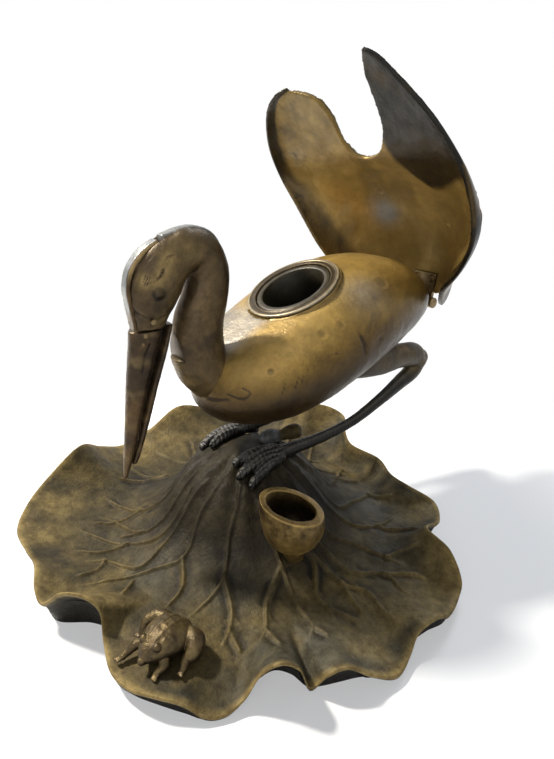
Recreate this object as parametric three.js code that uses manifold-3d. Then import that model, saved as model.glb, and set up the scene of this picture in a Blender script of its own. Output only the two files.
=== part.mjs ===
// Figural inkstand in cast and patinated bronze, in millimetres with +Z up.
// A wading bird stands on a wavy water leaf. Its hollow body holds the ink pot, its raised tail is
// the hinged lid, and its long bill is a sprung clip. A bud cup and a frog sit on the leaf.
// The bird faces -Y and its left side is +X. The origin is on the table, at the middle of the leaf.
import * as THREE from 'three';
import { mergeVertices } from 'three/addons/utils/BufferGeometryUtils.js';
import Module from 'manifold-3d';

const wasm = await Module();
wasm.setup();

// Driving dimensions of the whole inkstand
const castingGap = 0.3;
const runningGap = 0.1;
const cutOverrun = 6;

// Leaf
const leafReach = 98;
const leafRimHeight = 28;
const leafThickness = 2.2;
const leafLip = 0.9;
const humpHeight = 44.5;
const valleyRadius = 60;
const valleyHeight = 8.5;
const leafCurl = 1.7;
const leafBossRadius = 4.2;
const leafBossDepth = 2.6;

// Stalk behind the bird's feet
const stalkRadius = 3.3;
const stalkStart = new THREE.Vector3(1.6, 6.9, 45);
const stalkEnd = new THREE.Vector3(4.2, 25.8, 45);

// Screws from below and from inside
const screwRadius = 1.5;
const screwHoleRadius = 1.8;
const screwHeadRadius = 3;
const screwHeadHeight = 1.6;
const screwBite = 3.4;
const screwCrownShare = 0.85;
const screwTipRoom = 0.5;
const screwSlotWidth = 0.7;
const screwSlotDepth = 0.7;

// Bird's body
const bodyLength = 122;
const bodyHalfWidth = 33.5;
const bodyHalfHeight = 26.2;
const bodyWall = 2.6;
const breastY = -22;
const breastZ = 73;
const bodyRise = 24;
const bodyHeightTaper = 0.36;
const bodyWidthTaper = 0.25;
const bodySquareness = 2.25;
const bellyShare = 0.86;
const deckSoftness = 0.12;
const tailNoseSolid = 10;
const tailFlatBack = 1.8;

// Well in the bird's back
const wellY = 24.9;
const wellZ = 108.4;
const wellTilt = 26;
const wellBossRadius = 20.5;
const wellBossDepth = 4;
const collarFlangeRadius = 19.8;
const collarFlangeThickness = 1.3;
const collarSkirtRadius = 17.2;
const collarSkirtDepth = 7;
const collarThroatRadius = 16.2;
const collarLedgeRadius = 15.2;
const collarLedgeDepth = 1.5;
const potDepth = 30;
const potWall = 1.6;
const potLipThickness = 2;

// Neck and head
const neckFootY = -16;
const neckFootZ = 80;
const neckLength = 60;
const neckRootY = -9.5;
const neckRootZ = 82;
const neckScrewEndY = -17.5;
const neckScrewEndZ = 91.5;
const eyeRadius = 1.7;
const crownBandHalfWidth = 2.5;
const crownBandThickness = 1.8;
const crownBandTravel = 1.7;
const crownBandSideGap = 0.4;
const crownNotch = 1.9;
const crownRidgeProud = 0.5;

// Bill
const billPinY = -40.2;
const billPinZ = 107.8;
const billPinRadius = 0.9;
const billPinHalfLength = 7.4;
const billLength = 56;
const billWebHalfWidth = 2.6;
const billWebSideGap = 0.4;
const billMouthGap = 0.5;
const billHalfWidth = 4.9;
const billSlotReach = 4.2;
const headEndY = -30;
const headEndZ = 104.6;
const billShoulderGap = 0.9;
const springThickness = 0.45;
const springHalfWidth = 1.6;
const springRoom = 1;
const springRivetRadius = 0.6;

// Lid, which is the raised tail
const hingeBehindTail = 5.3;
const hingeZ = 91.5;
const lidOpenAngle = 57.5;
const lidLength = 116;
const lidNearExtra = 5.3;
const lidHalfWidth = 50;
const lidDepth = 17.6;
const lidWall = 2;
const lidRootAngle = 45;
const featherRelief = 0.7;
const featherRows = 7;
const quillShare = 0.4;

// Hinge between the tail end and the lid
const knuckleRadius = 2.6;
const knuckleHalfLength = 3.3;
const knuckleOuterEnd = 9;
const knuckleGap = 0.35;
const hingePinRadius = 1.2;
const hingePlateThickness = 1.5;
const hingePlateHalfWidth = 6.8;
const lidPlateLength = 13.5;
const lidPlateStartShare = 0.6;
const lidRivetShare = 0.82;
const lidRivetTipShare = 0.9;
const tailPlateTop = 5;
const tailPlateBottom = 3.6;
const tailRivetHeight = 2.3;
const tailLugHalfHeight = 2.1;
const rivetRadius = 1.1;
const rivetHeadRadius = 1.8;
const rivetHeadHeight = 0.8;
const rivetSpread = 4.6;

// Legs
const legLength = 84;
const legSpread = 14;
const thighSpread = 16;
const footY = 5.5;
const hipY = 59;
const toeReach = 15;
const toeRadius = 1.9;
const hindToeReach = 9;

// Bud cup
const cupXShare = 0.665;
const cupYShare = -0.09;
const cupZ = 30.4;
const cupRadius = 11.3;
const cupWall = 2;
const cupMouthHeight = 7;
const cupMouthRadius = 12;
const cupFootRadius = 3.6;
const cupLean = -12;
const cupMouthLean = 18;
const cupLeanWay = 54;

// Frog
const frogTurn = 17;
const frogXShare = 0.4633;
const frogYShare = -0.6367;
const frogLength = 16;
const frogHalfWidth = 6;
const frogHeight = 8.2;

// Shapes shared by every piece
const rodSides = 12;
const ballSides = 8;
const wellSides = 28;
const radians = THREE.MathUtils.degToRad;
const at = (x, y, z) => new THREE.Vector3(x, y, z);

// Smooth value between the rows of a table whose first column rises
function between(table, position, column = 1) {
  const last = table.length - 1;
  const clamped = Math.min(Math.max(position, table[0][0]), table[last][0]);
  let row = 0;
  while (row < last - 1 && table[row + 1][0] < clamped) row += 1;
  const slope = (i) => {
    const low = Math.max(i - 1, 0);
    const high = Math.min(i + 1, last);
    return (table[high][column] - table[low][column]) / (table[high][0] - table[low][0]);
  };
  const span = table[row + 1][0] - table[row][0];
  const t = (clamped - table[row][0]) / span;
  const ease = t * t * (3 - 2 * t);
  const bend = span * t * (1 - t) * (slope(row) * (1 - t) - slope(row + 1) * t);
  return table[row][column] * (1 - ease) + table[row + 1][column] * ease + bend;
}

// Closed skin through rings of equal size, with a fan over each end
function loft(rings) {
  const positions = [];
  const face = (...corners) => corners.forEach((corner) => positions.push(...corner.toArray()));
  const middle = (ring) => {
    const sum = ring.reduce((total, corner) => total.add(corner), at(0, 0, 0));
    return sum.divideScalar(ring.length);
  };
  const first = rings[0];
  const last = rings[rings.length - 1];
  const firstMiddle = middle(first);
  const lastMiddle = middle(last);
  first.forEach((corner, j) => {
    const k = (j + 1) % first.length;
    face(firstMiddle, first[k], corner);
    face(lastMiddle, last[j], last[k]);
    for (let i = 0; i + 1 < rings.length; i += 1) {
      face(rings[i][j], rings[i][k], rings[i + 1][k]);
      face(rings[i][j], rings[i + 1][k], rings[i + 1][j]);
    }
  });
  const geometry = new THREE.BufferGeometry();
  geometry.setAttribute('position', new THREE.Float32BufferAttribute(positions, 3));
  return geometry;
}

// Solid for joining and cutting, with its faces turned out
function solid(geometry) {
  const bare = geometry.clone();
  bare.deleteAttribute('normal');
  bare.deleteAttribute('uv');
  const merged = mergeVertices(bare);
  const corners = merged.attributes.position;
  const index = merged.index.array;
  const faces = [];
  let volume = 0;
  for (let i = 0; i < index.length; i += 3) {
    const [a, b, c] = [index[i], index[i + 1], index[i + 2]];
    if (a === b || b === c || c === a) continue;
    faces.push([a, b, c]);
    const [p, q, r] = [a, b, c].map((k) => new THREE.Vector3().fromBufferAttribute(corners, k));
    volume += p.dot(q.cross(r));
  }
  const outward = volume < 0 ? faces.map(([a, b, c]) => [a, c, b]) : faces;
  return new wasm.Manifold(new wasm.Mesh({
    numProp: 3,
    vertProperties: Float32Array.from(corners.array),
    triVerts: Uint32Array.from(outward.flat()),
  }));
}

const joined = (...pieces) => pieces.reduce((whole, piece) => whole.add(piece));
const cut = (whole, ...tools) => tools.reduce((rest, tool) => rest.subtract(tool), whole);

function named(name, piece, material) {
  const mesh = piece.getMesh();
  const corners = Float32Array.from(mesh.vertProperties);
  const geometry = new THREE.BufferGeometry();
  geometry.setAttribute('position', new THREE.BufferAttribute(corners, 3));
  geometry.setIndex(Array.from(mesh.triVerts));
  geometry.computeVertexNormals();
  const result = new THREE.Mesh(geometry, material);
  result.name = name;
  return result;
}

// Rod between two points, tapered where two radii are given
function rod(from, to, radius, endRadius = radius) {
  const along = to.clone().sub(from);
  const geometry = new THREE.CylinderGeometry(endRadius, radius, along.length(), rodSides);
  const turn = new THREE.Quaternion().setFromUnitVectors(at(0, 1, 0), along.clone().normalize());
  geometry.applyQuaternion(turn);
  const middle = from.clone().lerp(to, 0.5);
  return solid(geometry.translate(middle.x, middle.y, middle.z));
}

function box(low, high) {
  const size = high.clone().sub(low);
  const middle = high.clone().lerp(low, 0.5);
  const geometry = new THREE.BoxGeometry(size.x, size.y, size.z);
  return solid(geometry.translate(middle.x, middle.y, middle.z));
}

function ball(centre, radius) {
  const geometry = new THREE.SphereGeometry(radius, ballSides, ballSides / 2);
  return solid(geometry.translate(centre.x, centre.y, centre.z));
}

function turned(profile) {
  return solid(new THREE.LatheGeometry(profile, wellSides).rotateX(Math.PI / 2));
}

const endShares = [0.45, 0.85];

// Rounded limb along a smooth path. Stations hold a place, a half width across and a half depth.
function limb(stations, sides = 12, stepsPerStation = 2) {
  const curve = new THREE.CatmullRomCurve3(stations.map((station) => station[0]));
  const across = stations.map((station, i) => [i, station[1]]);
  const deep = stations.map((station, i) => [i, station[2] ?? station[1]]);
  const steps = (stations.length - 1) * stepsPerStation;
  const frames = curve.computeFrenetFrames(steps);
  const ring = (i, share, lift) => {
    const u = i / steps;
    const place = curve.getUtoTmapping(u) * (stations.length - 1);
    const centre = curve.getPointAt(u).addScaledVector(frames.tangents[i], lift);
    return Array.from({ length: sides }, (_, j) => {
      const angle = (2 * Math.PI * j) / sides;
      return centre.clone()
        .addScaledVector(frames.normals[i], share * between(across, place) * Math.cos(angle))
        .addScaledVector(frames.binormals[i], share * between(deep, place) * Math.sin(angle));
    });
  };
  const endRing = (i, sign, share) => {
    const [, halfWidth, halfDepth = halfWidth] = stations.at(sign > 0 ? -1 : 0);
    const reach = Math.min(halfWidth, halfDepth);
    return ring(i, share, sign * reach * Math.sqrt(1 - share * share));
  };
  const rings = [];
  endShares.forEach((share) => rings.push(endRing(0, -1, share)));
  for (let i = 0; i <= steps; i += 1) rings.push(ring(i, 1, 0));
  endShares.toReversed().forEach((share) => rings.push(endRing(steps, 1, share)));
  return solid(loft(rings));
}

// Flat outline in the bird's plane of symmetry, given as y and z, extruded to both sides
function profilePlate(outline, halfWidth) {
  const shape = new THREE.Shape(outline.map(([y, z]) => new THREE.Vector2(y, z)));
  const geometry = new THREE.ExtrudeGeometry(shape, { depth: 2 * halfWidth, bevelEnabled: false });
  geometry.translate(0, 0, -halfWidth);
  const sideways = new THREE.Matrix4().makeBasis(at(0, 1, 0), at(0, 0, 1), at(1, 0, 0));
  return solid(geometry.applyMatrix4(sideways));
}

// Screw with a slotted pan head below its seat and its shank pointing along +Z
function screw(length) {
  const shank = rod(at(0, 0, -screwHeadHeight / 2), at(0, 0, length), screwRadius);
  const crownRadius = screwHeadRadius * screwCrownShare;
  const head = rod(at(0, 0, -screwHeadHeight), at(0, 0, 0), crownRadius, screwHeadRadius);
  const slotLow = at(-screwHeadRadius, -screwSlotWidth / 2, -screwHeadHeight - screwSlotDepth);
  const slotHigh = at(screwHeadRadius, screwSlotWidth / 2, -screwHeadHeight + screwSlotDepth);
  return cut(joined(shank, head), box(slotLow, slotHigh));
}

const bronze = (color, roughness, metalness = 0.9) => (
  new THREE.MeshStandardMaterial({ color, roughness, metalness })
);

// Leaf: angle in degrees, then its reach, its rim height and the reach of its foot, as shares
const leafRimShares = [
  [213, 0.92, 0.96, 0.73], [224, 0.98, 0.71, 0.87], [236, 1, 0.61, 0.92], [245, 1, 0.54, 0.93],
  [253, 0.95, 0.5, 0.89], [261, 0.92, 0.57, 0.91], [268, 0.94, 0.5, 0.91], [272, 0.94, 0.43, 0.895],
  [278, 0.89, 0.71, 0.805], [283.5, 0.85, 0.75, 0.775], [287.5, 0.83, 0.61, 0.78], [290.5, 0.86, 0.32, 0.84],
  [297, 0.93, 0.25, 0.918], [302.5, 0.96, 0.25, 0.935], [308, 0.97, 0.3, 0.94], [314, 0.965, 0.25, 0.95],
  [318.5, 0.97, 0.12, 0.96], [322, 0.955, 0.1, 0.925], [325.5, 0.92, 0.18, 0.865], [329, 0.91, 0.5, 0.812],
  [333, 0.93, 0.71, 0.788], [336.5, 0.92, 0.55, 0.812], [339.5, 0.9, 0.12, 0.875], [342.5, 0.925, 0.36, 0.885],
  [346.5, 0.937, 0.43, 0.892], [351.5, 0.96, 0.25, 0.908], [357, 0.98, 0.12, 0.957], [362.5, 0.95, 0.14, 0.945],
  [366, 0.935, 0.29, 0.91], [372.5, 0.95, 0.32, 0.92], [377, 0.967, 0.21, 0.95], [384.5, 0.965, 0.18, 0.95],
  [388, 0.96, 0.25, 0.94], [391, 0.9, 0.57, 0.83], [398, 0.8, 0.61, 0.73], [407, 0.86, 0.43, 0.82],
  [417, 0.87, 0.43, 0.83], [423, 0.77, 0.57, 0.71], [434, 0.75, 0.5, 0.7], [443, 0.76, 0.57, 0.7],
  [455, 0.7, 0.71, 0.65], [462, 0.76, 0.79, 0.68], [468, 0.875, 0.86, 0.73], [474, 0.88, 0.96, 0.72],
  [481.5, 0.85, 1, 0.7], [490, 0.86, 0.79, 0.74], [500, 0.9, 0.54, 0.84], [510, 0.88, 0.43, 0.84],
  [520, 0.92, 0.71, 0.81], [532, 0.94, 0.89, 0.78], [544, 0.92, 0.61, 0.84], [554, 0.95, 0.43, 0.9],
  [564, 0.93, 0.68, 0.83],
];

const humpShares = [
  [0, 1], [0.13, 1], [0.27, 0.92], [0.38, 0.79], [0.475, 0.63], [0.54, 0.48], [0.6, 0.345], [0.683, 0.22],
  [0.783, 0.12], [0.9, 0.04], [1, 0],
];
const humpStationShares = [0.13, 0.27, 0.38, 0.48, 0.56, 0.64, 0.76, 1];
const brimStationShares = [0.4, 0.75, 1];
const undersideHumpShares = [1, 0.66, 0.5, 0.35, 0.16];
const undersideBrimShares = [0.6];
const innerRimShare = 0.3;
const slopeStepShare = 0.005;

// Rim and foot of the leaf at each row of the table
const rim = leafRimShares.map(([angle, reach, height, foot]) => ({
  angle: radians(angle),
  radius: reach * leafReach,
  height: height * leafRimHeight,
  foot: foot * leafReach,
}));

function leafHeight(radius, edge) {
  if (radius <= valleyRadius) {
    return valleyHeight + (humpHeight - valleyHeight) * between(humpShares, radius / valleyRadius);
  }
  const rise = (radius - valleyRadius) / (edge.radius - valleyRadius);
  return valleyHeight + (edge.height - valleyHeight) * rise ** leafCurl;
}

// Point of the leaf's upper face, moved off the face by a lift
function leafPoint(radius, edge, lift) {
  const step = valleyRadius * slopeStepShare;
  const slope = (leafHeight(radius, edge) - leafHeight(radius - step, edge)) / step;
  const stretch = Math.hypot(1, slope);
  const r = radius - (lift * slope) / stretch;
  const z = leafHeight(radius, edge) + lift / stretch;
  return at(r * Math.cos(edge.angle), r * Math.sin(edge.angle), z);
}

const humpRing = (share, lift) => rim.map((edge) => leafPoint(share * valleyRadius, edge, lift));
const brimRing = (share, lift) => rim.map((edge) => (
  leafPoint(valleyRadius + share * (edge.radius - valleyRadius), edge, lift)
));
const skirtRing = (inset, height) => rim.map((edge) => {
  const lift = height(edge);
  const radius = edge.foot + ((edge.radius - edge.foot) * lift) / edge.height - inset;
  return at(radius * Math.cos(edge.angle), radius * Math.sin(edge.angle), lift);
});

const floorRing = () => rim.map((edge) => (
  at(valleyRadius * Math.cos(edge.angle), valleyRadius * Math.sin(edge.angle), -cutOverrun)
));

function leafTopRings(lift) {
  return [
    ...humpStationShares.map((share) => humpRing(share, lift)),
    ...brimStationShares.map((share) => brimRing(share, lift)),
  ];
}

// Everything below the leaf's upper face, raised by a gap, for fitting what stands on it.
// A coarse bed keeps one in a few of the rim's places and only reaches over the raised middle.
function leafBed(gap, keep = 1) {
  const rings = keep === 1
    ? [...leafTopRings(gap), skirtRing(0, () => -cutOverrun)]
    : [...humpStationShares.map((share) => humpRing(share, gap)), floorRing()];
  return solid(loft(rings.map((ring) => ring.filter((corner, i) => i % keep === 0))));
}

function leafHeightAt(x, y) {
  const angle = Math.atan2(y, x);
  const turnTo = (edge) => Math.abs(Math.atan2(Math.sin(edge.angle - angle), Math.cos(edge.angle - angle)));
  const nearest = rim.reduce((best, edge) => (turnTo(edge) < turnTo(best) ? edge : best));
  return leafHeight(Math.hypot(x, y), nearest);
}

// Places of the cup and the frog, and of the screws that hold the pieces on the leaf
const cupX = cupXShare * valleyRadius;
const cupY = cupYShare * valleyRadius;
const frogX = frogXShare * leafReach;
const frogY = frogYShare * leafReach;
const footScrewPlace = (side) => at(side * legSpread, footY, 0);
const cupScrewPlace = at(cupX, cupY, 0);
const frogScrewPlace = at(frogX, frogY, 0);
const leafScrewPlaces = [footScrewPlace(1), footScrewPlace(-1), cupScrewPlace, frogScrewPlace];
const lowestNearby = (place) => {
  const around = Array.from({ length: 12 }, (_, i) => (i * Math.PI) / 6);
  const heights = around.map((angle) => (
    leafHeightAt(place.x + leafBossRadius * Math.cos(angle), place.y + leafBossRadius * Math.sin(angle))
  ));
  return Math.min(...heights);
};
const bossBottom = (place) => lowestNearby(place) - leafThickness - leafBossDepth;

function leafBase() {
  const innerHeight = (edge) => Math.max(edge.height - 2 * leafThickness, edge.height * innerRimShare);
  const rings = [
    ...leafTopRings(0),
    skirtRing(-leafLip / 2, (edge) => edge.height - leafLip),
    skirtRing(0, (edge) => edge.height - 2 * leafLip),
    skirtRing(0, () => 0),
    skirtRing(leafThickness, () => 0),
    skirtRing(leafThickness, innerHeight),
    ...undersideBrimShares.map((share) => brimRing(share, -leafThickness)),
    ...undersideHumpShares.map((share) => humpRing(share, -leafThickness)),
  ];
  const casting = solid(loft(rings));
  const stalk = limb([[stalkStart, stalkRadius], [stalkEnd, stalkRadius]], 12, 3);
  const bosses = leafScrewPlaces.map((place) => {
    const inside = leafHeightAt(place.x, place.y) - leafThickness / 2;
    const boss = rod(at(place.x, place.y, bossBottom(place)), at(place.x, place.y, inside), leafBossRadius);
    return boss.intersect(leafBed(-leafThickness / 2));
  });
  const holes = leafScrewPlaces.map((place) => (
    rod(at(place.x, place.y, -cutOverrun), at(place.x, place.y, humpHeight + cutOverrun), screwHoleRadius)
  ));
  return cut(joined(casting, stalk, ...bosses), ...holes);
}

// Length of a screw from its seat under the leaf to its tip in the piece above
const leafScrewLength = (place) => (
  leafHeightAt(place.x, place.y) + screwBite - bossBottom(place) + castingGap
);

function leafScrew(name, place) {
  const mesh = named(name, screw(leafScrewLength(place)), bronze(0x8c7a4e, 0.45));
  mesh.position.set(place.x, place.y, bossBottom(place) - castingGap);
  return mesh;
}

// Blind hole for a screw in a piece on the leaf
function leafScrewHole(place) {
  const tip = leafHeightAt(place.x, place.y) + screwBite + screwTipRoom;
  return rod(at(place.x, place.y, -cutOverrun), at(place.x, place.y, tip), screwHoleRadius);
}

// Bird's body: its backbone as shares of its length and of its rise
const backboneShares = [[0, 0], [0.246, 0.29], [0.59, 0.85], [0.82, 1], [1, 0.88]];
const wellFrame = new THREE.Group();
wellFrame.position.set(0, wellY, wellZ);
wellFrame.rotation.x = radians(wellTilt);
wellFrame.updateMatrixWorld();
const wellNormal = at(0, 0, 1).applyQuaternion(wellFrame.quaternion);
const wellPoint = (radius, height) => new THREE.Vector2(radius, height);

// Section of the body at a share of its length, flattened to a soft deck round the well
function bodyRing(turn, sides, inset, noseInset) {
  const along = (1 - Math.cos(turn)) / 2;
  const y = breastY + inset + along * (bodyLength - inset - noseInset);
  const share = (y - breastY) / bodyLength;
  const z = breastZ + bodyRise * between(backboneShares, share);
  const halfWidth = (bodyHalfWidth - inset) * Math.sin(turn) * (1 + bodyWidthTaper * (0.5 - along));
  const halfHeight = (bodyHalfHeight - inset) * Math.sin(turn) * (1 + bodyHeightTaper * (0.5 - along));
  const rounded = (value) => Math.sign(value) * Math.abs(value) ** (2 / bodySquareness);
  return Array.from({ length: sides }, (_, j) => {
    const angle = (2 * Math.PI * j) / sides;
    const rise = halfHeight * rounded(Math.sin(angle)) * (Math.sin(angle) < 0 ? bellyShare : 1);
    const place = at(halfWidth * rounded(Math.cos(angle)), y, z + rise);
    const above = place.clone().sub(wellFrame.position).dot(wellNormal) + inset;
    if (above > 0) place.addScaledVector(wellNormal, -above * (1 - deckSoftness));
    return place;
  });
}

function bodyForm(stations, sides, inset, noseInset = inset) {
  const turns = Array.from({ length: stations + 1 }, (_, i) => (Math.PI * i) / stations);
  return solid(loft(turns.map((turn) => bodyRing(turn, sides, inset, noseInset))));
}

// Rod in the well's own frame, from one height above its seat to another
function wellRod(radius, low, high) {
  const geometry = new THREE.CylinderGeometry(radius, radius, high - low, wellSides).rotateX(Math.PI / 2);
  return solid(geometry.translate(0, 0, (high + low) / 2).applyMatrix4(wellFrame.matrixWorld));
}

const tailFlatY = breastY + bodyLength - tailFlatBack;
const hingeY = tailFlatY + hingeBehindTail;
const tailMiddleZ = breastZ + bodyRise * backboneShares.at(-1)[1];

// Hip screws stand upright in the body's floor, and the neck screw follows the neck's root
const hipPlace = (side) => at(side * thighSpread, hipY, 0);
const neckRoot = at(0, neckRootY, neckRootZ);
const neckScrewEnd = at(0, neckScrewEndY, neckScrewEndZ);
const neckScrewWay = neckScrewEnd.clone().sub(neckRoot).normalize();

const bodyStations = 18;
const bodySides = 22;
const hollowStations = 12;
const hollowSides = 16;
const bodyOuter = bodyForm(bodyStations, bodySides, 0);
const bodyWithGap = bodyForm(bodyStations, bodySides, -castingGap);

// Height of the body's underside at the hip screw
function bodyFloorAt(place) {
  const share = (place.y - breastY) / bodyLength;
  const turn = Math.acos(1 - 2 * share);
  const z = breastZ + bodyRise * between(backboneShares, share);
  const halfWidth = bodyHalfWidth * Math.sin(turn) * (1 + bodyWidthTaper * (0.5 - share));
  const halfHeight = bodyHalfHeight * Math.sin(turn) * (1 + bodyHeightTaper * (0.5 - share));
  const across = Math.abs(place.x) / halfWidth;
  return z - bellyShare * halfHeight * (1 - across ** bodySquareness) ** (1 / bodySquareness);
}

const hipSeat = (place) => bodyFloorAt(place) + bodyWall;

function bodyShell() {
  const boss = wellRod(wellBossRadius, -wellBossDepth, 0);
  const hollow = bodyForm(hollowStations, hollowSides, bodyWall, tailNoseSolid);
  const wellHole = wellRod(collarSkirtRadius + castingGap, -wellBossDepth - cutOverrun, cutOverrun);
  const hipHoles = [1, -1].map((side) => {
    const place = hipPlace(side);
    const level = (height) => at(place.x, place.y, height);
    const floor = bodyFloorAt(place);
    const hole = rod(level(floor - cutOverrun), level(floor + cutOverrun), screwHoleRadius);
    const spotLow = level(hipSeat(place) - castingGap);
    const spotFace = rod(spotLow, level(floor + cutOverrun), screwHeadRadius + castingGap);
    return joined(hole, spotFace);
  });
  const neckHole = rod(neckRoot, neckScrewEnd, screwHoleRadius);
  const noseHigh = at(bodyHalfWidth, tailFlatY + cutOverrun, 2 * tailMiddleZ);
  const nose = box(at(-bodyHalfWidth, tailFlatY, 0), noseHigh);
  const seat = wellRod(wellBossRadius + castingGap, 0, cutOverrun);
  const holes = [wellHole, ...hipHoles, neckHole, ...tailRivetHoles()];
  return cut(joined(bodyOuter, boss), seat, hollow, nose, ...holes);
}

// Collar and pot, turned about the well's own axis
function wellCollar() {
  const top = collarFlangeThickness;
  const bottom = castingGap;
  const profile = [
    wellPoint(collarLedgeRadius, -collarSkirtDepth),
    wellPoint(collarSkirtRadius, -collarSkirtDepth),
    wellPoint(collarSkirtRadius, bottom),
    wellPoint(collarFlangeRadius, bottom),
    wellPoint(collarFlangeRadius, top - bottom),
    wellPoint(collarFlangeRadius - bottom, top),
    wellPoint(collarThroatRadius + bottom, top),
    wellPoint(collarThroatRadius, top - bottom),
    wellPoint(collarThroatRadius, -collarLedgeDepth),
    wellPoint(collarLedgeRadius, -collarLedgeDepth),
    wellPoint(collarLedgeRadius, -collarSkirtDepth),
  ];
  return named('well_collar', turned(profile), bronze(0xb9a67a, 0.28));
}

function inkPot() {
  const lipRadius = collarThroatRadius - castingGap;
  const outer = collarLedgeRadius - castingGap;
  const inner = outer - potWall;
  const lipBottom = -collarLedgeDepth + castingGap;
  const lipTop = lipBottom + potLipThickness;
  const corner = 2 * potWall;
  const profile = [
    wellPoint(0, -potDepth),
    wellPoint(outer - corner, -potDepth),
    wellPoint(outer, -potDepth + corner),
    wellPoint(outer, lipBottom),
    wellPoint(lipRadius, lipBottom),
    wellPoint(lipRadius, lipTop),
    wellPoint(inner, lipTop),
    wellPoint(inner, -potDepth + corner),
    wellPoint(inner - potWall, -potDepth + potWall),
    wellPoint(0, -potDepth + potWall),
  ];
  return named('ink_pot', turned(profile), bronze(0x6b5430, 0.4));
}

// Neck and head as shares of the neck's length from its foot: y, z, half width and half depth
const neckPlace = (x, y, z) => at(x * neckLength, neckFootY + y * neckLength, neckFootZ + z * neckLength);
const neckShares = [
  [0, 0, 0.167, 0.173], [-0.073, 0.183, 0.16, 0.173], [-0.053, 0.383, 0.147, 0.157],
  [0.01, 0.567, 0.13, 0.14], [0.023, 0.7, 0.127, 0.13], [-0.033, 0.805, 0.127, 0.128],
  [-0.133, 0.823, 0.132, 0.133],
];
const headShares = [
  [-0.067, 0.813, 0.123, 0.12], [-0.167, 0.8, 0.133, 0.137], [-0.26, 0.74, 0.14, 0.157],
  [-0.323, 0.65, 0.137, 0.165], [-0.36, 0.55, 0.123, 0.145], [-0.38, 0.458, 0.1, 0.113],
  [-0.39, 0.383, 0.083, 0.093],
];
// Outer edge of the crown band, from the bill's root over the head to the nape
const crownShares = [
  [-0.49, 0.442], [-0.505, 0.55], [-0.51, 0.66], [-0.473, 0.767], [-0.4, 0.847], [-0.297, 0.902],
  [-0.183, 0.937], [-0.073, 0.95], [0.033, 0.913], [0.11, 0.823],
];
const crownPlaces = crownShares.map(([y, z]) => neckPlace(0, y, z));
const crownCurve = new THREE.CatmullRomCurve3(crownPlaces, false, 'centripetal');
const crownEndShare = 0.545;
const eyeShares = [0.115, -0.355, 0.613];

// Strip between two depths under the crown line, over a share of its length
function crownStrip(from, to, outerDepth, innerDepth, innerDepthEnd = innerDepth, steps = 12) {
  const edge = (share, depth) => {
    const place = crownCurve.getPointAt(share);
    const way = crownCurve.getTangentAt(share);
    return [place.y + depth * way.z, place.z - depth * way.y];
  };
  const shares = Array.from({ length: steps + 1 }, (_, i) => from + ((to - from) * i) / steps);
  const depthAt = (i) => innerDepth + ((innerDepthEnd - innerDepth) * i) / steps;
  const outer = shares.map((share) => edge(share, outerDepth));
  const inner = shares.map((share, i) => edge(share, depthAt(i))).toReversed();
  return [...outer, ...inner];
}

const crownLength = crownCurve.getLength();
const crownNotchShare = crownEndShare + crownNotch / crownLength;
const neckRows = (rows) => rows.map(([y, z, across, deep]) => (
  [neckPlace(0, y, z), across * neckLength, deep * neckLength]
));

function neckHead() {
  const neck = limb(neckRows(neckShares), 12);
  const head = limb(neckRows(headShares), 12);
  const [eyeAcross, eyeAlong, eyeUp] = eyeShares;
  const eyes = [1, -1].map((side) => (
    ball(neckPlace(side * eyeAcross, eyeAlong, eyeUp), eyeRadius)
  ));
  const ridge = profilePlate(crownStrip(crownNotchShare, 1, crownRidgeProud, 3 * crownBandThickness),
    crownBandHalfWidth);
  const headEnd = box(at(-neckLength, -2 * neckLength, 0), at(neckLength, headEndY, headEndZ));
  const grooveDepth = crownBandThickness + crownBandTravel;
  const grooveStart = grooveDepth + billShoulderGap;
  const grooveStrip = crownStrip(0, crownNotchShare, -cutOverrun, grooveStart, grooveDepth);
  const groove = profilePlate(grooveStrip, crownBandHalfWidth + crownBandSideGap);
  const slot = profilePlate(headSlotOutline(), billWebHalfWidth + billWebSideGap);
  const pinHole = rod(at(-cutOverrun - billPinHalfLength, billPinY, billPinZ),
    at(cutOverrun + billPinHalfLength, billPinY, billPinZ), billPinRadius + runningGap);
  const screwReach = neckRoot.distanceTo(neckScrewEnd) + screwTipRoom;
  const deep = neckRoot.clone().addScaledVector(neckScrewWay, screwReach);
  const screwHole = rod(neckRoot, deep, screwHoleRadius);
  const casting = joined(neck, head, ...eyes, ridge);
  return cut(casting, bodyWithGap, headEnd, groove, slot, pinHole, screwHole, ...springRivetHole());
}

// Slot between the cheeks, in which the web of the bill lever turns
function headSlotOutline() {
  const reach = billSlotReach;
  const front = -2 * neckLength;
  const back = billPinY + reach;
  return [
    [front, headEndZ - cutOverrun], [back, headEndZ - cutOverrun], [back, billPinZ + reach],
    [billPinY - reach, billPinZ + 2 * reach], [front, billPinZ + 2 * reach],
  ];
}

// Bill at shares of its length below the head: its ridge, its mouth line and the lower half's
// depth as shares of the bill's length from the pin, then its half width
const billShares = [0, 0.18, 0.36, 0.55, 0.75, 0.92, 1];
const billRidgeShares = [-0.111, -0.139, -0.168, -0.196, -0.225, -0.25, -0.257];
const billMouthShares = [0.107, 0.046, -0.021, -0.082, -0.143, -0.204, -0.236];
const lowerBillShares = [0.052, 0.061, 0.064, 0.061, 0.05, 0.036, 0.021];
const billWidthShares = [1, 0.9, 0.78, 0.66, 0.5, 0.32, 0.18];
const billEdge = (shares) => shares.map((share) => billPinY + share * billLength);
const billRidge = billEdge(billRidgeShares);
const billMouth = billEdge(billMouthShares);
const billTopZ = headEndZ - billShoulderGap;

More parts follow.
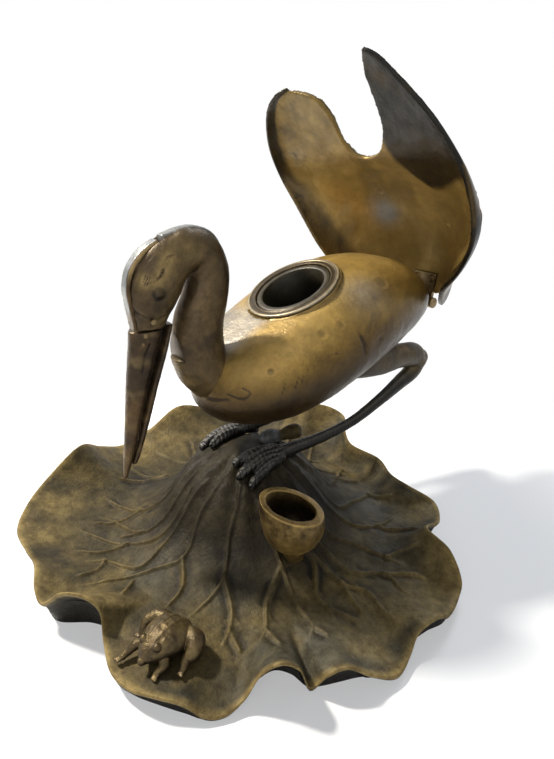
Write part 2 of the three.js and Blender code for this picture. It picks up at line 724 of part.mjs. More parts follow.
// Half of the bill as a loft between a front edge and a back edge
function billForm(frontAt, backAt, startZ, endShare) {
  const sides = 14;
  const rings = billShares.filter((share) => share <= endShare).map((share, i) => {
    const z = startZ - share * billLength;
    const halfDepth = (backAt(i) - frontAt(i)) / 2;
    const middle = (backAt(i) + frontAt(i)) / 2;
    return Array.from({ length: sides }, (_, j) => {
      const angle = (2 * Math.PI * j) / sides;
      const across = billHalfWidth * billWidthShares[i];
      return at(across * Math.cos(angle), middle + halfDepth * Math.sin(angle), z);
    });
  });
  return solid(loft(rings));
}

// Outline of the web between the bill and the crown strip, round the pin
const billWebShares = [
  [-0.089, -0.127], [0.046, -0.127], [0.046, 0.039], [-0.007, 0.071],
  [-0.082, 0.114], [-0.102, 0.064], [-0.093, -0.073],
];

function billLever() {
  const bill = billForm((i) => billRidge[i], (i) => billMouth[i], billTopZ, 1);
  const web = profilePlate(billWebShares.map(([y, z]) => (
    [billPinY + y * billLength, billPinZ + z * billLength]
  )), billWebHalfWidth);
  const strip = profilePlate(crownStrip(0, crownEndShare, 0, crownBandThickness), crownBandHalfWidth);
  const pinHole = rod(at(-billPinHalfLength, billPinY, billPinZ), at(billPinHalfLength, billPinY, billPinZ),
    billPinRadius + runningGap);
  return named('bill_lever', cut(joined(bill, web, strip), pinHole), bronze(0x4a3c28, 0.42));
}

// Lower half of the bill, fixed to the head behind the lever
function lowerBill() {
  const front = (i) => billMouth[i] + billMouthGap;
  const back = (i) => front(i) + lowerBillShares[i] * billLength;
  const bill = billForm(front, back, headEndZ - castingGap, billShares.at(-2));
  return named('lower_bill', bill, bronze(0x4a3c28, 0.45));
}

function billPin() {
  const pin = rod(at(-billPinHalfLength, 0, 0), at(billPinHalfLength, 0, 0), billPinRadius);
  const mesh = named('bill_pin', pin, bronze(0x8c7a4e, 0.4));
  mesh.position.set(0, billPinY, billPinZ);
  return mesh;
}

// Leaf spring in the groove under the crown band, held by a rivet at its lower end
const springFootShare = 0.3;
const springTipShare = 0.52;
const grooveFloorAt = (share) => {
  const start = crownBandThickness + crownBandTravel + billShoulderGap;
  return start - (billShoulderGap * share) / crownNotchShare;
};
const springRivetShare = 0.33;
const headSinkShare = 0.5;

function springRivetWay() {
  const place = crownCurve.getPointAt(springRivetShare);
  const way = crownCurve.getTangentAt(springRivetShare);
  const inward = at(0, way.z, -way.y);
  const seat = place.clone().addScaledVector(inward, grooveFloorAt(springRivetShare) - castingGap);
  return { seat, inward };
}

function springRivetHole() {
  const { seat, inward } = springRivetWay();
  const end = seat.clone().addScaledVector(inward, 2 * crownBandThickness + screwTipRoom);
  return [rod(seat, end, springRivetRadius + runningGap)];
}

function billSpring() {
  const steps = 8;
  const floor = grooveFloorAt(springFootShare) - castingGap;
  const touch = crownBandThickness + springRoom;
  const shares = Array.from({ length: steps + 1 }, (_, i) => i / steps);
  const edge = (t, extra) => {
    const share = springFootShare + (springTipShare - springFootShare) * t;
    const depth = floor - springThickness + (touch - floor + springThickness) * t ** 2 + extra;
    const place = crownCurve.getPointAt(share);
    const way = crownCurve.getTangentAt(share);
    return [place.y + depth * way.z, place.z - depth * way.y];
  };
  const outer = shares.map((t) => edge(t, 0));
  const inner = shares.toReversed().map((t) => edge(t, springThickness));
  const outline = [...outer, ...inner];
  const { seat, inward } = springRivetWay();
  const holeTop = seat.clone().addScaledVector(inward, -cutOverrun);
  const holeEnd = seat.clone().addScaledVector(inward, crownBandThickness);
  const hole = rod(holeTop, holeEnd, springRivetRadius + runningGap);
  return named('bill_spring', cut(profilePlate(outline, springHalfWidth), hole), bronze(0xa08a55, 0.35));
}

function springRivet() {
  const { seat, inward } = springRivetWay();
  const headTop = seat.clone().addScaledVector(inward, -springThickness - runningGap);
  const tip = seat.clone().addScaledVector(inward, 2 * crownBandThickness);
  const crown = headTop.clone().addScaledVector(inward, -springThickness / 2);
  const shank = rod(crown.clone().lerp(headTop, headSinkShare), tip, springRivetRadius);
  const head = rod(crown, headTop, 2 * springRivetRadius);
  return named('spring_rivet', joined(shank, head), bronze(0x8c7a4e, 0.4));
}

// Lid: rows of shares of its length, its half width and its depth
const lidRimShares = [
  [0.025, 0.28, 0.12, 0.28, 0.12], [0.075, 0.4, -0.4, 0.38, -0.5], [0.19, 0.58, -0.66, 0.54, -0.82],
  [0.29, 0.8, -0.64, 0.64, -0.93], [0.38, 0.94, -0.5, 0.71, -0.93], [0.45, 0.985, -0.38, 0.78, -0.85],
  [0.55, 0.99, -0.25, 0.885, -0.71], [0.65, 0.98, -0.25, 1, -0.57], [0.77, 0.87, -0.2, 0.97, -0.57],
  [0.865, 0.73, -0.15, 0.87, -0.57], [0.94, 0.61, -0.15, 0.76, -0.5], [0.985, 0.52, -0.17, 0.61, -0.41],
  [1, 0.44, -0.19, 0.47, -0.25],
];
const lidCrestShares = [
  [0.025, 0.22], [0.07, 0.57], [0.12, 0.79], [0.19, 0.88], [0.285, 0.93], [0.41, 0.89], [0.53, 0.63],
  [0.66, 0.17], [0.78, -0.01], [0.91, -0.13], [1, -0.19],
];
const lidStationShares = [
  0.025, 0.05, 0.085, 0.13, 0.19, 0.27, 0.36, 0.45, 0.54, 0.63, 0.72, 0.81, 0.89, 0.95, 0.985, 1,
];
const lidColumns = 14;
const lidSquareness = 2.1;
const lidStepShare = 0.004;
// Outline of the notch between the two lobes: shares of the half width and of the length
const notchShares = [
  [-0.47, 0.955], [-0.24, 0.91], [-0.18, 0.835], [-0.2, 0.74], [-0.18, 0.68], [-0.1, 0.655], [0.02, 0.66],
  [0.15, 0.69], [0.25, 0.74], [0.325, 0.8], [0.365, 0.89], [0.38, 0.975], [0.44, 1.045],
];

const lidFrame = new THREE.Group();
lidFrame.position.set(0, hingeY, hingeZ);
lidFrame.rotation.x = -radians(lidOpenAngle);
lidFrame.updateMatrixWorld();

// Point of the lid's hollow face in the lid's own frame, across in shares from -1 to 1
function lidPoint(across, along) {
  const column = across > 0 ? 1 : 3;
  const halfWidth = lidHalfWidth * between(lidRimShares, along, column);
  const rimHeight = lidDepth * between(lidRimShares, along, column + 1);
  const crest = lidDepth * between(lidCrestShares, along);
  const dome = (1 - Math.abs(across) ** lidSquareness) ** (1 / lidSquareness);
  const length = lidLength + lidNearExtra * across;
  return at(halfWidth * across, -along * length, rimHeight + (crest - rimHeight) * dome);
}

function lidNormal(across, along) {
  const step = lidStepShare;
  const low = Math.max(along - step, lidStationShares[0]);
  const high = Math.min(along + step, 1);
  const inner = Math.min(Math.max(across, -1 + 2 * step), 1 - 2 * step);
  const lengthways = lidPoint(inner, high).sub(lidPoint(inner, low));
  const sideways = lidPoint(inner + step, along).sub(lidPoint(inner - step, along));
  const normal = lengthways.cross(sideways).normalize();
  return normal.z < 0 ? normal.negate() : normal;
}

// Feathers lie in rows like roof tiles on the outer face
function featherLift(across, along) {
  const row = along * featherRows;
  const column = Math.abs(across) * featherRows - 0.5 * Math.floor(row);
  const tile = (row % 1) ** 2;
  const quill = 1 - quillShare * (1 - Math.cos(2 * Math.PI * column));
  return featherRelief * tile * quill;
}

function lidRing(along) {
  const turns = Array.from({ length: lidColumns + 1 }, (_, i) => Math.PI * (i / lidColumns - 0.5));
  const shares = turns.map((turn) => Math.sin(turn));
  const inner = shares.map((across) => lidPoint(across, along));
  const outer = shares.map((across, i) => (
    inner[i].clone().addScaledVector(lidNormal(across, along), lidWall + featherLift(across, along))
  ));
  return [...inner, ...outer.toReversed()];
}

const lidPlateWay = at(0, -Math.cos(radians(lidRootAngle)), Math.sin(radians(lidRootAngle)));
const lidPlateOut = at(0, Math.sin(radians(lidRootAngle)), Math.cos(radians(lidRootAngle)));

// Flat plate that leaves the hinge axis at the lid's root angle, grown on every side by a gap
function lidPlateBlock(grow) {
  const start = knuckleRadius * lidPlateStartShare;
  const corner = (along, out) => {
    const place = lidPlateWay.clone().multiplyScalar(along).addScaledVector(lidPlateOut, out);
    return [place.y, place.z];
  };
  return profilePlate([
    corner(start - grow, -grow),
    corner(lidPlateLength + grow, -grow),
    corner(lidPlateLength + grow, hingePlateThickness + grow),
    corner(start - grow, hingePlateThickness + grow),
  ], hingePlateHalfWidth + grow);
}

const lidRivetAlong = lidPlateLength * lidRivetShare;
const lidRivetPlace = (side, out) => lidPlateWay.clone().multiplyScalar(lidRivetAlong)
  .addScaledVector(lidPlateOut, out).setX(side * rivetSpread);

function lidShell() {
  const shell = solid(loft(lidStationShares.map(lidRing)));
  const edge = notchShares.map(([across, along]) => (
    new THREE.Vector2(across * lidHalfWidth, -along * lidLength)
  ));
  const curve = new THREE.SplineCurve(edge).getPoints(30);
  const beyondY = -lidLength - 2 * cutOverrun;
  const beyond = [1, -1].map((side) => new THREE.Vector2((side * lidHalfWidth) / 2, beyondY));
  const notchShape = new THREE.Shape([...curve, ...beyond]);
  const notch = new THREE.ExtrudeGeometry(notchShape, { depth: 4 * lidDepth, bevelEnabled: false });
  notch.translate(0, 0, -2 * lidDepth);
  const knuckles = rod(at(-knuckleOuterEnd - knuckleGap, 0, 0), at(knuckleOuterEnd + knuckleGap, 0, 0),
    knuckleRadius + knuckleGap);
  const holes = [1, -1].map((side) => (
    rod(lidRivetPlace(side, -cutOverrun), lidRivetPlace(side, 2 * cutOverrun), rivetRadius + runningGap)
  ));
  const piece = cut(shell, solid(notch), lidPlateBlock(castingGap), knuckles, ...holes);
  return named('lid_shell', piece, bronze(0x8f7434, 0.38));
}

function lidHingeLeaf() {
  const knuckles = [1, -1].map((side) => {
    const ends = [side * (knuckleHalfLength + knuckleGap), side * knuckleOuterEnd];
    return rod(at(Math.min(...ends), 0, 0), at(Math.max(...ends), 0, 0), knuckleRadius);
  });
  const middle = rod(at(-knuckleHalfLength - knuckleGap, 0, 0), at(knuckleHalfLength + knuckleGap, 0, 0),
    knuckleRadius + knuckleGap);
  const plate = cut(lidPlateBlock(0), middle);
  const pinHole = rod(at(-knuckleOuterEnd - cutOverrun, 0, 0), at(knuckleOuterEnd + cutOverrun, 0, 0),
    hingePinRadius + runningGap);
  const holes = [1, -1].map((side) => (
    rod(lidRivetPlace(side, -cutOverrun), lidRivetPlace(side, cutOverrun), rivetRadius + runningGap)
  ));
  const piece = cut(joined(plate, ...knuckles), pinHole, ...holes);
  return named('lid_hinge_leaf', piece, bronze(0x9a8450, 0.38));
}

function lidRivet(name, side) {
  const tipOut = hingePlateThickness + castingGap + lidWall * lidRivetTipShare;
  const shankStart = -castingGap - rivetHeadHeight * headSinkShare;
  const shank = rod(lidRivetPlace(side, shankStart), lidRivetPlace(side, tipOut), rivetRadius);
  const head = rod(lidRivetPlace(side, -castingGap - rivetHeadHeight), lidRivetPlace(side, -castingGap),
    rivetRadius, rivetHeadRadius);
  return named(name, joined(shank, head), bronze(0xa08a55, 0.38));
}

// Tail side of the hinge: a plate on the flat of the tail, with the middle knuckle
const tailRivetPlace = (side, y) => at(side * rivetSpread, y, tailMiddleZ + tailRivetHeight);

function tailRivetHoles() {
  return [1, -1].map((side) => (
    rod(tailRivetPlace(side, tailFlatY - cutOverrun), tailRivetPlace(side, tailFlatY + cutOverrun),
      rivetRadius + runningGap)
  ));
}

function tailHingeLeaf() {
  const near = tailFlatY + castingGap;
  const far = near + hingePlateThickness;
  const plate = box(at(-hingePlateHalfWidth, near, tailMiddleZ - tailPlateBottom),
    at(hingePlateHalfWidth, far, tailMiddleZ + tailPlateTop));
  const lug = box(at(-knuckleHalfLength, near, hingeZ - tailLugHalfHeight),
    at(knuckleHalfLength, hingeY, hingeZ + tailLugHalfHeight));
  const knuckleEnd = (side) => at(side * knuckleHalfLength, hingeY, hingeZ);
  const knuckle = rod(knuckleEnd(-1), knuckleEnd(1), knuckleRadius);
  const room = [1, -1].map((side) => {
    const ends = [side * knuckleHalfLength, side * (knuckleOuterEnd + knuckleGap)];
    return rod(at(Math.min(...ends), hingeY, hingeZ), at(Math.max(...ends), hingeY, hingeZ),
      knuckleRadius + knuckleGap);
  });
  const pinHole = rod(at(-knuckleOuterEnd, hingeY, hingeZ), at(knuckleOuterEnd, hingeY, hingeZ),
    hingePinRadius + runningGap);
  const rivetHoles = [1, -1].map((side) => {
    const top = tailRivetPlace(side, far + cutOverrun);
    const hole = rod(tailRivetPlace(side, near - cutOverrun), top, rivetRadius + runningGap);
    const headSeat = tailRivetPlace(side, far - rivetHeadHeight);
    return joined(hole, rod(headSeat, top, rivetHeadRadius + runningGap));
  });
  const piece = cut(joined(cut(plate, ...room), lug, knuckle), pinHole, ...rivetHoles);
  return named('tail_hinge_leaf', piece, bronze(0x9a8450, 0.38));
}

function tailRivet(name, side) {
  const far = tailFlatY + castingGap + hingePlateThickness;
  const headSeat = far - rivetHeadHeight + runningGap;
  const shankEnd = tailRivetPlace(side, tailFlatY - cutOverrun + screwTipRoom);
  const shank = rod(shankEnd, tailRivetPlace(side, headSeat + runningGap), rivetRadius);
  const head = rod(tailRivetPlace(side, headSeat), tailRivetPlace(side, far), rivetHeadRadius);
  return named(name, joined(shank, head), bronze(0xa08a55, 0.38));
}

function hingePin() {
  const pin = rod(at(-knuckleOuterEnd, 0, 0), at(knuckleOuterEnd, 0, 0), hingePinRadius);
  const mesh = named('hinge_pin', pin, bronze(0x8c7a4e, 0.4));
  mesh.position.set(0, hingeY, hingeZ);
  return mesh;
}

// Legs: the thigh leaves the body's underside, the shank folds forward to the foot on the hump.
// Rows hold shares of the leg's length from the foot: y, z, half width and half depth.
const thighShares = [
  [0.506, 0.387, 0.076, 0.1], [0.661, 0.344, 0.069, 0.079], [0.815, 0.337, 0.06, 0.069],
  [0.935, 0.315, 0.057, 0.069], [0.985, 0.275, 0.052, 0.06],
];
const shankShares = [
  [0.994, 0.292, 0.05, 0.057], [0.942, 0.22, 0.045, 0.05], [0.839, 0.173, 0.036, 0.043],
  [0.673, 0.106, 0.029, 0.033], [0.494, 0.039, 0.025, 0.029], [0.292, 0.006, 0.025, 0.03],
  [0.101, 0.001, 0.033, 0.033], [0.006, 0.006, 0.04, 0.033],
];
// Each front toe: its spread to the side as a share of the toe's reach, and its own reach as a share
const toeShares = [[-0.23, 0.87], [0.04, 1], [0.31, 0.87]];
// Stations of a toe: share of its reach, then height and half width in toe radii
const toeStationShares = [[0, 1.15, 1.15], [0.4, 0.95, 1.01], [0.75, 0.78, 0.89], [1, 0.65, 0.8]];
const toeFanShare = 0.3;

function leg(name, side) {
  const place = (spread, y, z) => at(side * spread, y, z);
  const knee = (y) => Math.max(0, 1 - Math.abs(y - hipY) / (hipY - footY));
  const spreadAt = (y) => legSpread + (thighSpread - legSpread) * knee(y);
  const rows = (shares) => shares.map(([y, z, across, deep]) => {
    const along = footY + y * legLength;
    const middle = place(spreadAt(along), along, humpHeight + z * legLength);
    return [middle, across * legLength, deep * legLength];
  });
  const thigh = limb(rows(thighShares), 10);
  const shank = limb(rows(shankShares), 8, 1);
  const onLeaf = (x, y, lift) => place(x, y, leafHeightAt(x, y) + lift);
  const toes = toeShares.map(([spread, reach]) => {
    const row = toeStationShares.map(([share, lift, radius]) => {
      const x = legSpread + spread * toeReach * (toeFanShare + (1 - toeFanShare) * share);
      return [onLeaf(x, footY - share * reach * toeReach, toeRadius * lift), toeRadius * radius];
    });
    return limb(row, 6, 1);
  });
  const hindToe = limb([
    [onLeaf(legSpread, footY, toeRadius), toeRadius],
    [onLeaf(legSpread, footY + hindToeReach, toeRadius), toeRadius * toeStationShares.at(-1)[1]],
  ], 7, 2);
  const pad = rod(place(legSpread, footY, humpHeight / 2), place(legSpread, footY, humpHeight + toeRadius),
    screwHoleRadius + toeRadius);
  const hip = hipPlace(side);
  const floor = bodyFloorAt(hip);
  const hipHoleEnd = at(hip.x, hip.y, floor - screwBite - screwTipRoom);
  const hipHole = rod(hipHoleEnd, at(hip.x, hip.y, floor + cutOverrun), screwHoleRadius);
  const casting = joined(thigh, shank, ...toes, hindToe, pad);
  const holes = [hipHole, leafScrewHole(footScrewPlace(side))];
  const piece = cut(casting, bodyWithGap, leafBed(castingGap, 2), ...holes);
  return named(name, piece, bronze(0x4d4532, 0.42));
}

function hipScrew(name, side) {
  const place = hipPlace(side);
  const floor = bodyFloorAt(place);
  const seat = hipSeat(place);
  const mesh = named(name, screw(seat - floor + screwBite), bronze(0x8c7a4e, 0.45));
  mesh.position.set(place.x, place.y, seat);
  mesh.rotation.x = Math.PI;
  return mesh;
}

function neckScrew() {
  const length = neckRoot.distanceTo(neckScrewEnd);
  const mesh = named('neck_screw', screw(length), bronze(0x8c7a4e, 0.45));
  mesh.position.copy(neckRoot);
  mesh.quaternion.setFromUnitVectors(at(0, 0, 1), neckScrewWay);
  return mesh;
}

// Bud cup: a deep round bowl that leans to one side, with its wide mouth cut on the slant
function cupFrame(lean) {
  const frame = new THREE.Group();
  frame.position.set(cupX, cupY, cupZ);
  frame.rotation.order = 'ZYX';
  frame.rotation.z = radians(cupLeanWay);
  frame.rotation.y = radians(lean);
  frame.updateMatrixWorld();
  return frame.matrixWorld;
}

const cupBowlShares = [0, 0.2, 0.4, 0.6, 0.8, 1];

// Bowl grown inward by an inset, solid up to twice the height of its mouth
function cupForm(inset) {
  const bowl = cupBowlShares.map((share) => {
    const turn = (share * Math.PI) / 2;
    return wellPoint((cupRadius - inset) * Math.sin(turn), -(cupRadius - inset) * Math.cos(turn));
  });
  const wall = [1, 2].map((share) => wellPoint(cupMouthRadius - inset, share * cupMouthHeight));
  const profile = [...bowl, ...wall, wellPoint(0, 2 * cupMouthHeight)];
  const form = new THREE.LatheGeometry(profile, 20).rotateX(Math.PI / 2);
  return solid(form.applyMatrix4(cupFrame(cupLean)));
}

function budCup() {
  const mouth = new THREE.BoxGeometry(4 * cupRadius, 4 * cupRadius, 2 * cupRadius);
  mouth.translate(0, 0, cupMouthHeight + cupRadius).applyMatrix4(cupFrame(cupMouthLean));
  const top = cupZ - cupRadius + cupWall / 2;
  const foot = rod(at(cupX, cupY, 0), at(cupX, cupY, top), cupFootRadius);
  const bowl = joined(cupForm(0), foot);
  const bed = leafBed(castingGap, 2);
  const piece = cut(bowl, cupForm(cupWall), solid(mouth), bed, leafScrewHole(cupScrewPlace));
  return named('bud_cup', piece, bronze(0x8a6d35, 0.4));
}

// Frog: a squat body with a pointed head, on folded hind legs and spread forelegs
const frogBodyShares = [
  [0.46, 0.44, 0.5, 0.28], [0.26, 0.54, 0.95, 0.48], [0.04, 0.62, 1, 0.56], [-0.18, 0.68, 0.86, 0.48],
  [-0.35, 0.66, 0.68, 0.36], [-0.46, 0.6, 0.4, 0.22],
];
// Limbs of the frog: places as shares of its half width, length and height, then a radius share
const frogLimbShares = [
  [[0.5, 0.36, 0.5, 0.36], [1.3, 0.44, 0.55, 0.34], [1.95, 0.4, 0.34, 0.24], [1.95, 0.16, 0.12, 0.16]],
  [[-0.5, 0.35, 0.5, 0.34], [-1.3, 0.3, 0.5, 0.28], [-1.95, 0.2, 0.36, 0.2], [-2.5, 0.04, 0.14, 0.15]],
  [[-0.6, -0.16, 0.5, 0.22], [-1.3, -0.32, 0.34, 0.17], [-1.38, -0.54, 0.2, 0.15], [-1.45, -0.7, 0.1, 0.13]],
  [[0.6, -0.16, 0.5, 0.22], [1.15, -0.3, 0.3, 0.17], [1, -0.54, 0.1, 0.15]],
];
const frogEyeShares = [0.46, -0.27, 1.02, 0.13];

function frog() {
  const ground = leafHeightAt(frogX, frogY);
  const place = (x, y, z) => at(x * frogHalfWidth, y * frogLength, z * frogHeight)
    .applyAxisAngle(at(0, 0, 1), radians(frogTurn)).add(at(frogX, frogY, ground));
  const trunk = limb(frogBodyShares.map(([y, z, across, deep]) => (
    [place(0, y, z), across * frogHalfWidth, deep * frogHeight]
  )), 12);
  const limbs = frogLimbShares.map((rows) => (
    limb(rows.map(([x, y, z, radius]) => [place(x, y, z), radius * frogHeight]), 7, 1)
  ));
  const [across, along, up, radius] = frogEyeShares;
  const eyes = [1, -1].map((side) => (
    ball(place(side * across, along, up), frogHeight * radius)
  ));
  const pad = rod(at(frogX, frogY, 0), at(frogX, frogY, ground + frogHeight / 2), 2 * screwHoleRadius);
  const casting = joined(trunk, ...limbs, ...eyes, pad);
  const piece = cut(casting, leafBed(castingGap), leafScrewHole(frogScrewPlace));
  return named('frog', piece, bronze(0x7a6436, 0.42));
}

// The whole inkstand
const inkstand = new THREE.Group();
inkstand.name = 'inkstand';
wellFrame.add(wellCollar(), inkPot());
lidFrame.add(lidShell(), lidHingeLeaf(), lidRivet('lid_rivet_left', 1), lidRivet('lid_rivet_right', -1));
inkstand.add(
  named('leaf_base', leafBase(), bronze(0x5f5638, 0.5)),
  budCup(),
  frog(),
  leg('left_leg', 1),
  leg('right_leg', -1),
  named('body_shell', bodyShell(), bronze(0x8a6a2c, 0.36)),
  named('neck_head', neckHead(), bronze(0x4a3c28, 0.42)),
  lowerBill(),
  billLever(),
  billPin(),
  billSpring(),
  springRivet(),
  tailHingeLeaf(),
  hingePin(),
  tailRivet('tail_rivet_left', 1),
  tailRivet('tail_rivet_right', -1),
  leafScrew('left_foot_screw', footScrewPlace(1)),
  leafScrew('right_foot_screw', footScrewPlace(-1)),
  leafScrew('cup_screw', cupScrewPlace),
  leafScrew('frog_screw', frogScrewPlace),
  hipScrew('left_hip_screw', 1),
  hipScrew('right_hip_screw', -1),
  neckScrew(),
  wellFrame,
  lidFrame,
);

export default inkstand;
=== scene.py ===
"""Figural inkstand in patinated bronze: a wading bird on a wavy water leaf.

Lengths are in millimetres up to the meshes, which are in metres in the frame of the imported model.
The bird faces -Y, its left side is +X, and the origin is on the table below the leaf's middle.
"""
import math
import bpy
import numpy as np
from mathutils import Matrix, Vector


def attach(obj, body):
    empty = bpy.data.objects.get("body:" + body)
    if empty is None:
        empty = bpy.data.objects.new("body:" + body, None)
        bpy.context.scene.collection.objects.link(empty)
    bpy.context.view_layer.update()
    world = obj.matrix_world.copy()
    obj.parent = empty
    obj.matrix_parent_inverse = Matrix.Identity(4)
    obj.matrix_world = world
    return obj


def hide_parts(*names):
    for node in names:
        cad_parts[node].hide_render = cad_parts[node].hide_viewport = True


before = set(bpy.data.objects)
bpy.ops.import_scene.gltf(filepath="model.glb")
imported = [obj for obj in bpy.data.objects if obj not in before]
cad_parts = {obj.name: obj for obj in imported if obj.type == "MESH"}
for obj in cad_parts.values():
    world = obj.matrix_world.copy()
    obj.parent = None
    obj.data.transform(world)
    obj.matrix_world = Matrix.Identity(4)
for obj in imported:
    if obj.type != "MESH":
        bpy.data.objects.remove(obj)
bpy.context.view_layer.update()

MM = 0.001
FULL = 2 * math.pi
rng = np.random.RandomState(11)


# Small tools for numbers


def unit(v):
    v = np.asarray(v, float)
    return v / np.linalg.norm(v, axis=-1, keepdims=True)


def between(table, place, column=1):
    """Smooth value between the rows of a table whose first column rises."""
    rows = np.asarray(table, float)
    x, y = rows[:, 0], rows[:, column]
    place = np.clip(np.asarray(place, float), x[0], x[-1])
    row = np.clip(np.searchsorted(x, place) - 1, 0, len(x) - 2)
    slope = np.empty(len(x))
    slope[1:-1] = (y[2:] - y[:-2]) / (x[2:] - x[:-2])
    slope[0] = (y[1] - y[0]) / (x[1] - x[0])
    slope[-1] = (y[-1] - y[-2]) / (x[-1] - x[-2])
    span = x[row + 1] - x[row]
    s = (place - x[row]) / span
    ease = s * s * (3 - 2 * s)
    bend = span * s * (1 - s) * (slope[row] * (1 - s) - slope[row + 1] * s)
    return y[row] * (1 - ease) + y[row + 1] * ease + bend


def ramp(value, low, high):
    """Soft step from 0 at low to 1 at high."""
    s = np.clip((np.asarray(value, float) - low) / (high - low), 0, 1)
    return s * s * (3 - 2 * s)


def hill(distance, width):
    return np.exp(-(np.asarray(distance, float) / width) ** 2)


def waves(points, size, seed, layers=3):
    """Seeded soft noise from -1 to 1 at points, with features of about the given size."""
    rand = np.random.RandomState(seed)
    total, weight, norm = 0.0, 1.0, 0.0
    for _ in range(layers):
        ways = unit(rand.normal(size=(7, 3))) * (FULL / size)
        shifts = rand.uniform(0, FULL, 7)
        total = total + weight * np.sin(points @ ways.T + shifts).sum(-1) / 3.5
        norm += weight
        weight *= 0.5
        size *= 0.47
    return np.clip(total / norm, -1, 1)


def soft_noise(points, size, seed):
    """Seeded soft noise from 0 to 1."""
    return waves(points, size, seed) * 0.5 + 0.5


def gap_to(points, place):
    return np.linalg.norm(points - np.asarray(place), axis=1)


def line_gap(points, line):
    """Distance of points to a line of places, and the share of the line where each is nearest."""
    best, along = np.full(len(points), 1e9), np.zeros(len(points))
    for i in range(len(line) - 1):
        run = line[i + 1] - line[i]
        t = np.clip((points - line[i]) @ run / (run @ run), 0, 1)
        gap = np.linalg.norm(points - line[i] - t[:, None] * run, axis=1)
        closer = gap < best
        best[closer] = gap[closer]
        along[closer] = (i + t[closer]) / (len(line) - 1)
    return best, along


def line_field(points, lines):
    """Depth of chased lines near points: each line has places, a width and a depth."""
    field = np.zeros(len(points))
    for places, width, depth in lines:
        line = curve_points(places, 3 * len(places))
        reach = 3 * width
        near = np.where(((points > line.min(0) - reach) & (points < line.max(0) + reach)).all(1))[0]
        field[near] = np.maximum(field[near], hill(line_gap(points[near], line)[0], width) * depth)
    return field


def dent_field(points, dents):
    """Depth of round dents: each has a place, a radius, a depth and the share that its ring stands up."""
    field = np.zeros(len(points))
    for place, radius, depth, ring in dents:
        gap = gap_to(points, place)
        field += depth * hill(gap, radius * 0.75) - depth * ring * hill(gap - radius, radius * 0.22)
    return field


def through(points, matrix):
    return (np.c_[points, np.ones(len(points))] @ np.array(matrix).T)[:, :3]


def mirrored(points):
    """Points folded onto the bird's left side, so that marks repeat on the right."""
    return np.abs(points) * (1, 0, 0) + points * (0, 1, 1)


def signed_power(value, power):
    return np.sign(value) * np.abs(value) ** power


# Curves

CURVE_STEPS = 40


def blend(t, a, b, start, end):
    return ((end - t) * a + (t - start) * b) / (end - start)


def curve_points(places, steps, closed=False):
    """Catmull-Rom curve through places, evenly spaced along its length."""
    p = np.asarray(places, float)
    if closed:
        p = np.vstack([p[-1:], p, p[:2]])
    else:
        p = np.vstack([2 * p[0] - p[1], p, 2 * p[-1] - p[-2]])
    fine = []
    for i in range(1, len(p) - 2):
        knots = [0.0]
        for j in range(i - 1, i + 2):
            knots.append(knots[-1] + np.linalg.norm(p[j + 1, :3] - p[j, :3]) ** 0.5)
        t = np.linspace(knots[1], knots[2], CURVE_STEPS, endpoint=False)[:, None]
        first = [blend(t, p[i + k - 1], p[i + k], knots[k], knots[k + 1]) for k in range(3)]
        second = [blend(t, first[k], first[k + 1], knots[k], knots[k + 2]) for k in range(2)]
        fine.append(blend(t, *second, knots[1], knots[2]))
    fine = np.vstack(fine + [p[-2:-1]])
    length = np.concatenate([[0], np.cumsum(np.linalg.norm(np.diff(fine[:, :3], axis=0), axis=1))])
    marks = np.linspace(0, length[-1], steps + (1 if closed else 0))
    out = np.stack([np.interp(marks, length, column) for column in fine.T], -1)
    return out[:-1] if closed else out


# Meshes

CAP_RINGS = 8


def paint_layer(mesh, key, values):
    layer = mesh.attributes.new(key, "FLOAT", "POINT")
    layer.data.foreach_set("value", np.asarray(values, float).ravel())


def mesh_object(name, points, faces, **paint):
    """Object from points in millimetres, with a number painted on each point for each keyword."""
    mesh = bpy.data.meshes.new(name)
    mesh.from_pydata((np.asarray(points) * MM).tolist(), [], faces)
    mesh.validate()
    mesh.polygons.foreach_set("use_smooth", [True] * len(mesh.polygons))
    for key, values in paint.items():
        paint_layer(mesh, key, values)
    obj = bpy.data.objects.new(name, mesh)
    bpy.context.scene.collection.objects.link(obj)
    return obj


def painted(obj, **paint):
    """Paint a number from 0 to 1 on each point of a finished form for each keyword."""
    for key, values in paint.items():
        paint_layer(obj.data, key, np.clip(np.broadcast_to(values, len(obj.data.vertices)), 0, 1))
    return obj


def grid_faces(rows, columns, closed_rows=False):
    """Quads over rings of points, wrapped from the last ring to the first where the rows close."""
    rr, cc = np.meshgrid(np.arange(rows if closed_rows else rows - 1), np.arange(columns), indexing="ij")
    r2, c2 = (rr + 1) % rows, (cc + 1) % columns
    quads = np.stack([rr * columns + cc, rr * columns + c2, r2 * columns + c2, r2 * columns + cc], -1)
    return quads.reshape(-1, 4).tolist()


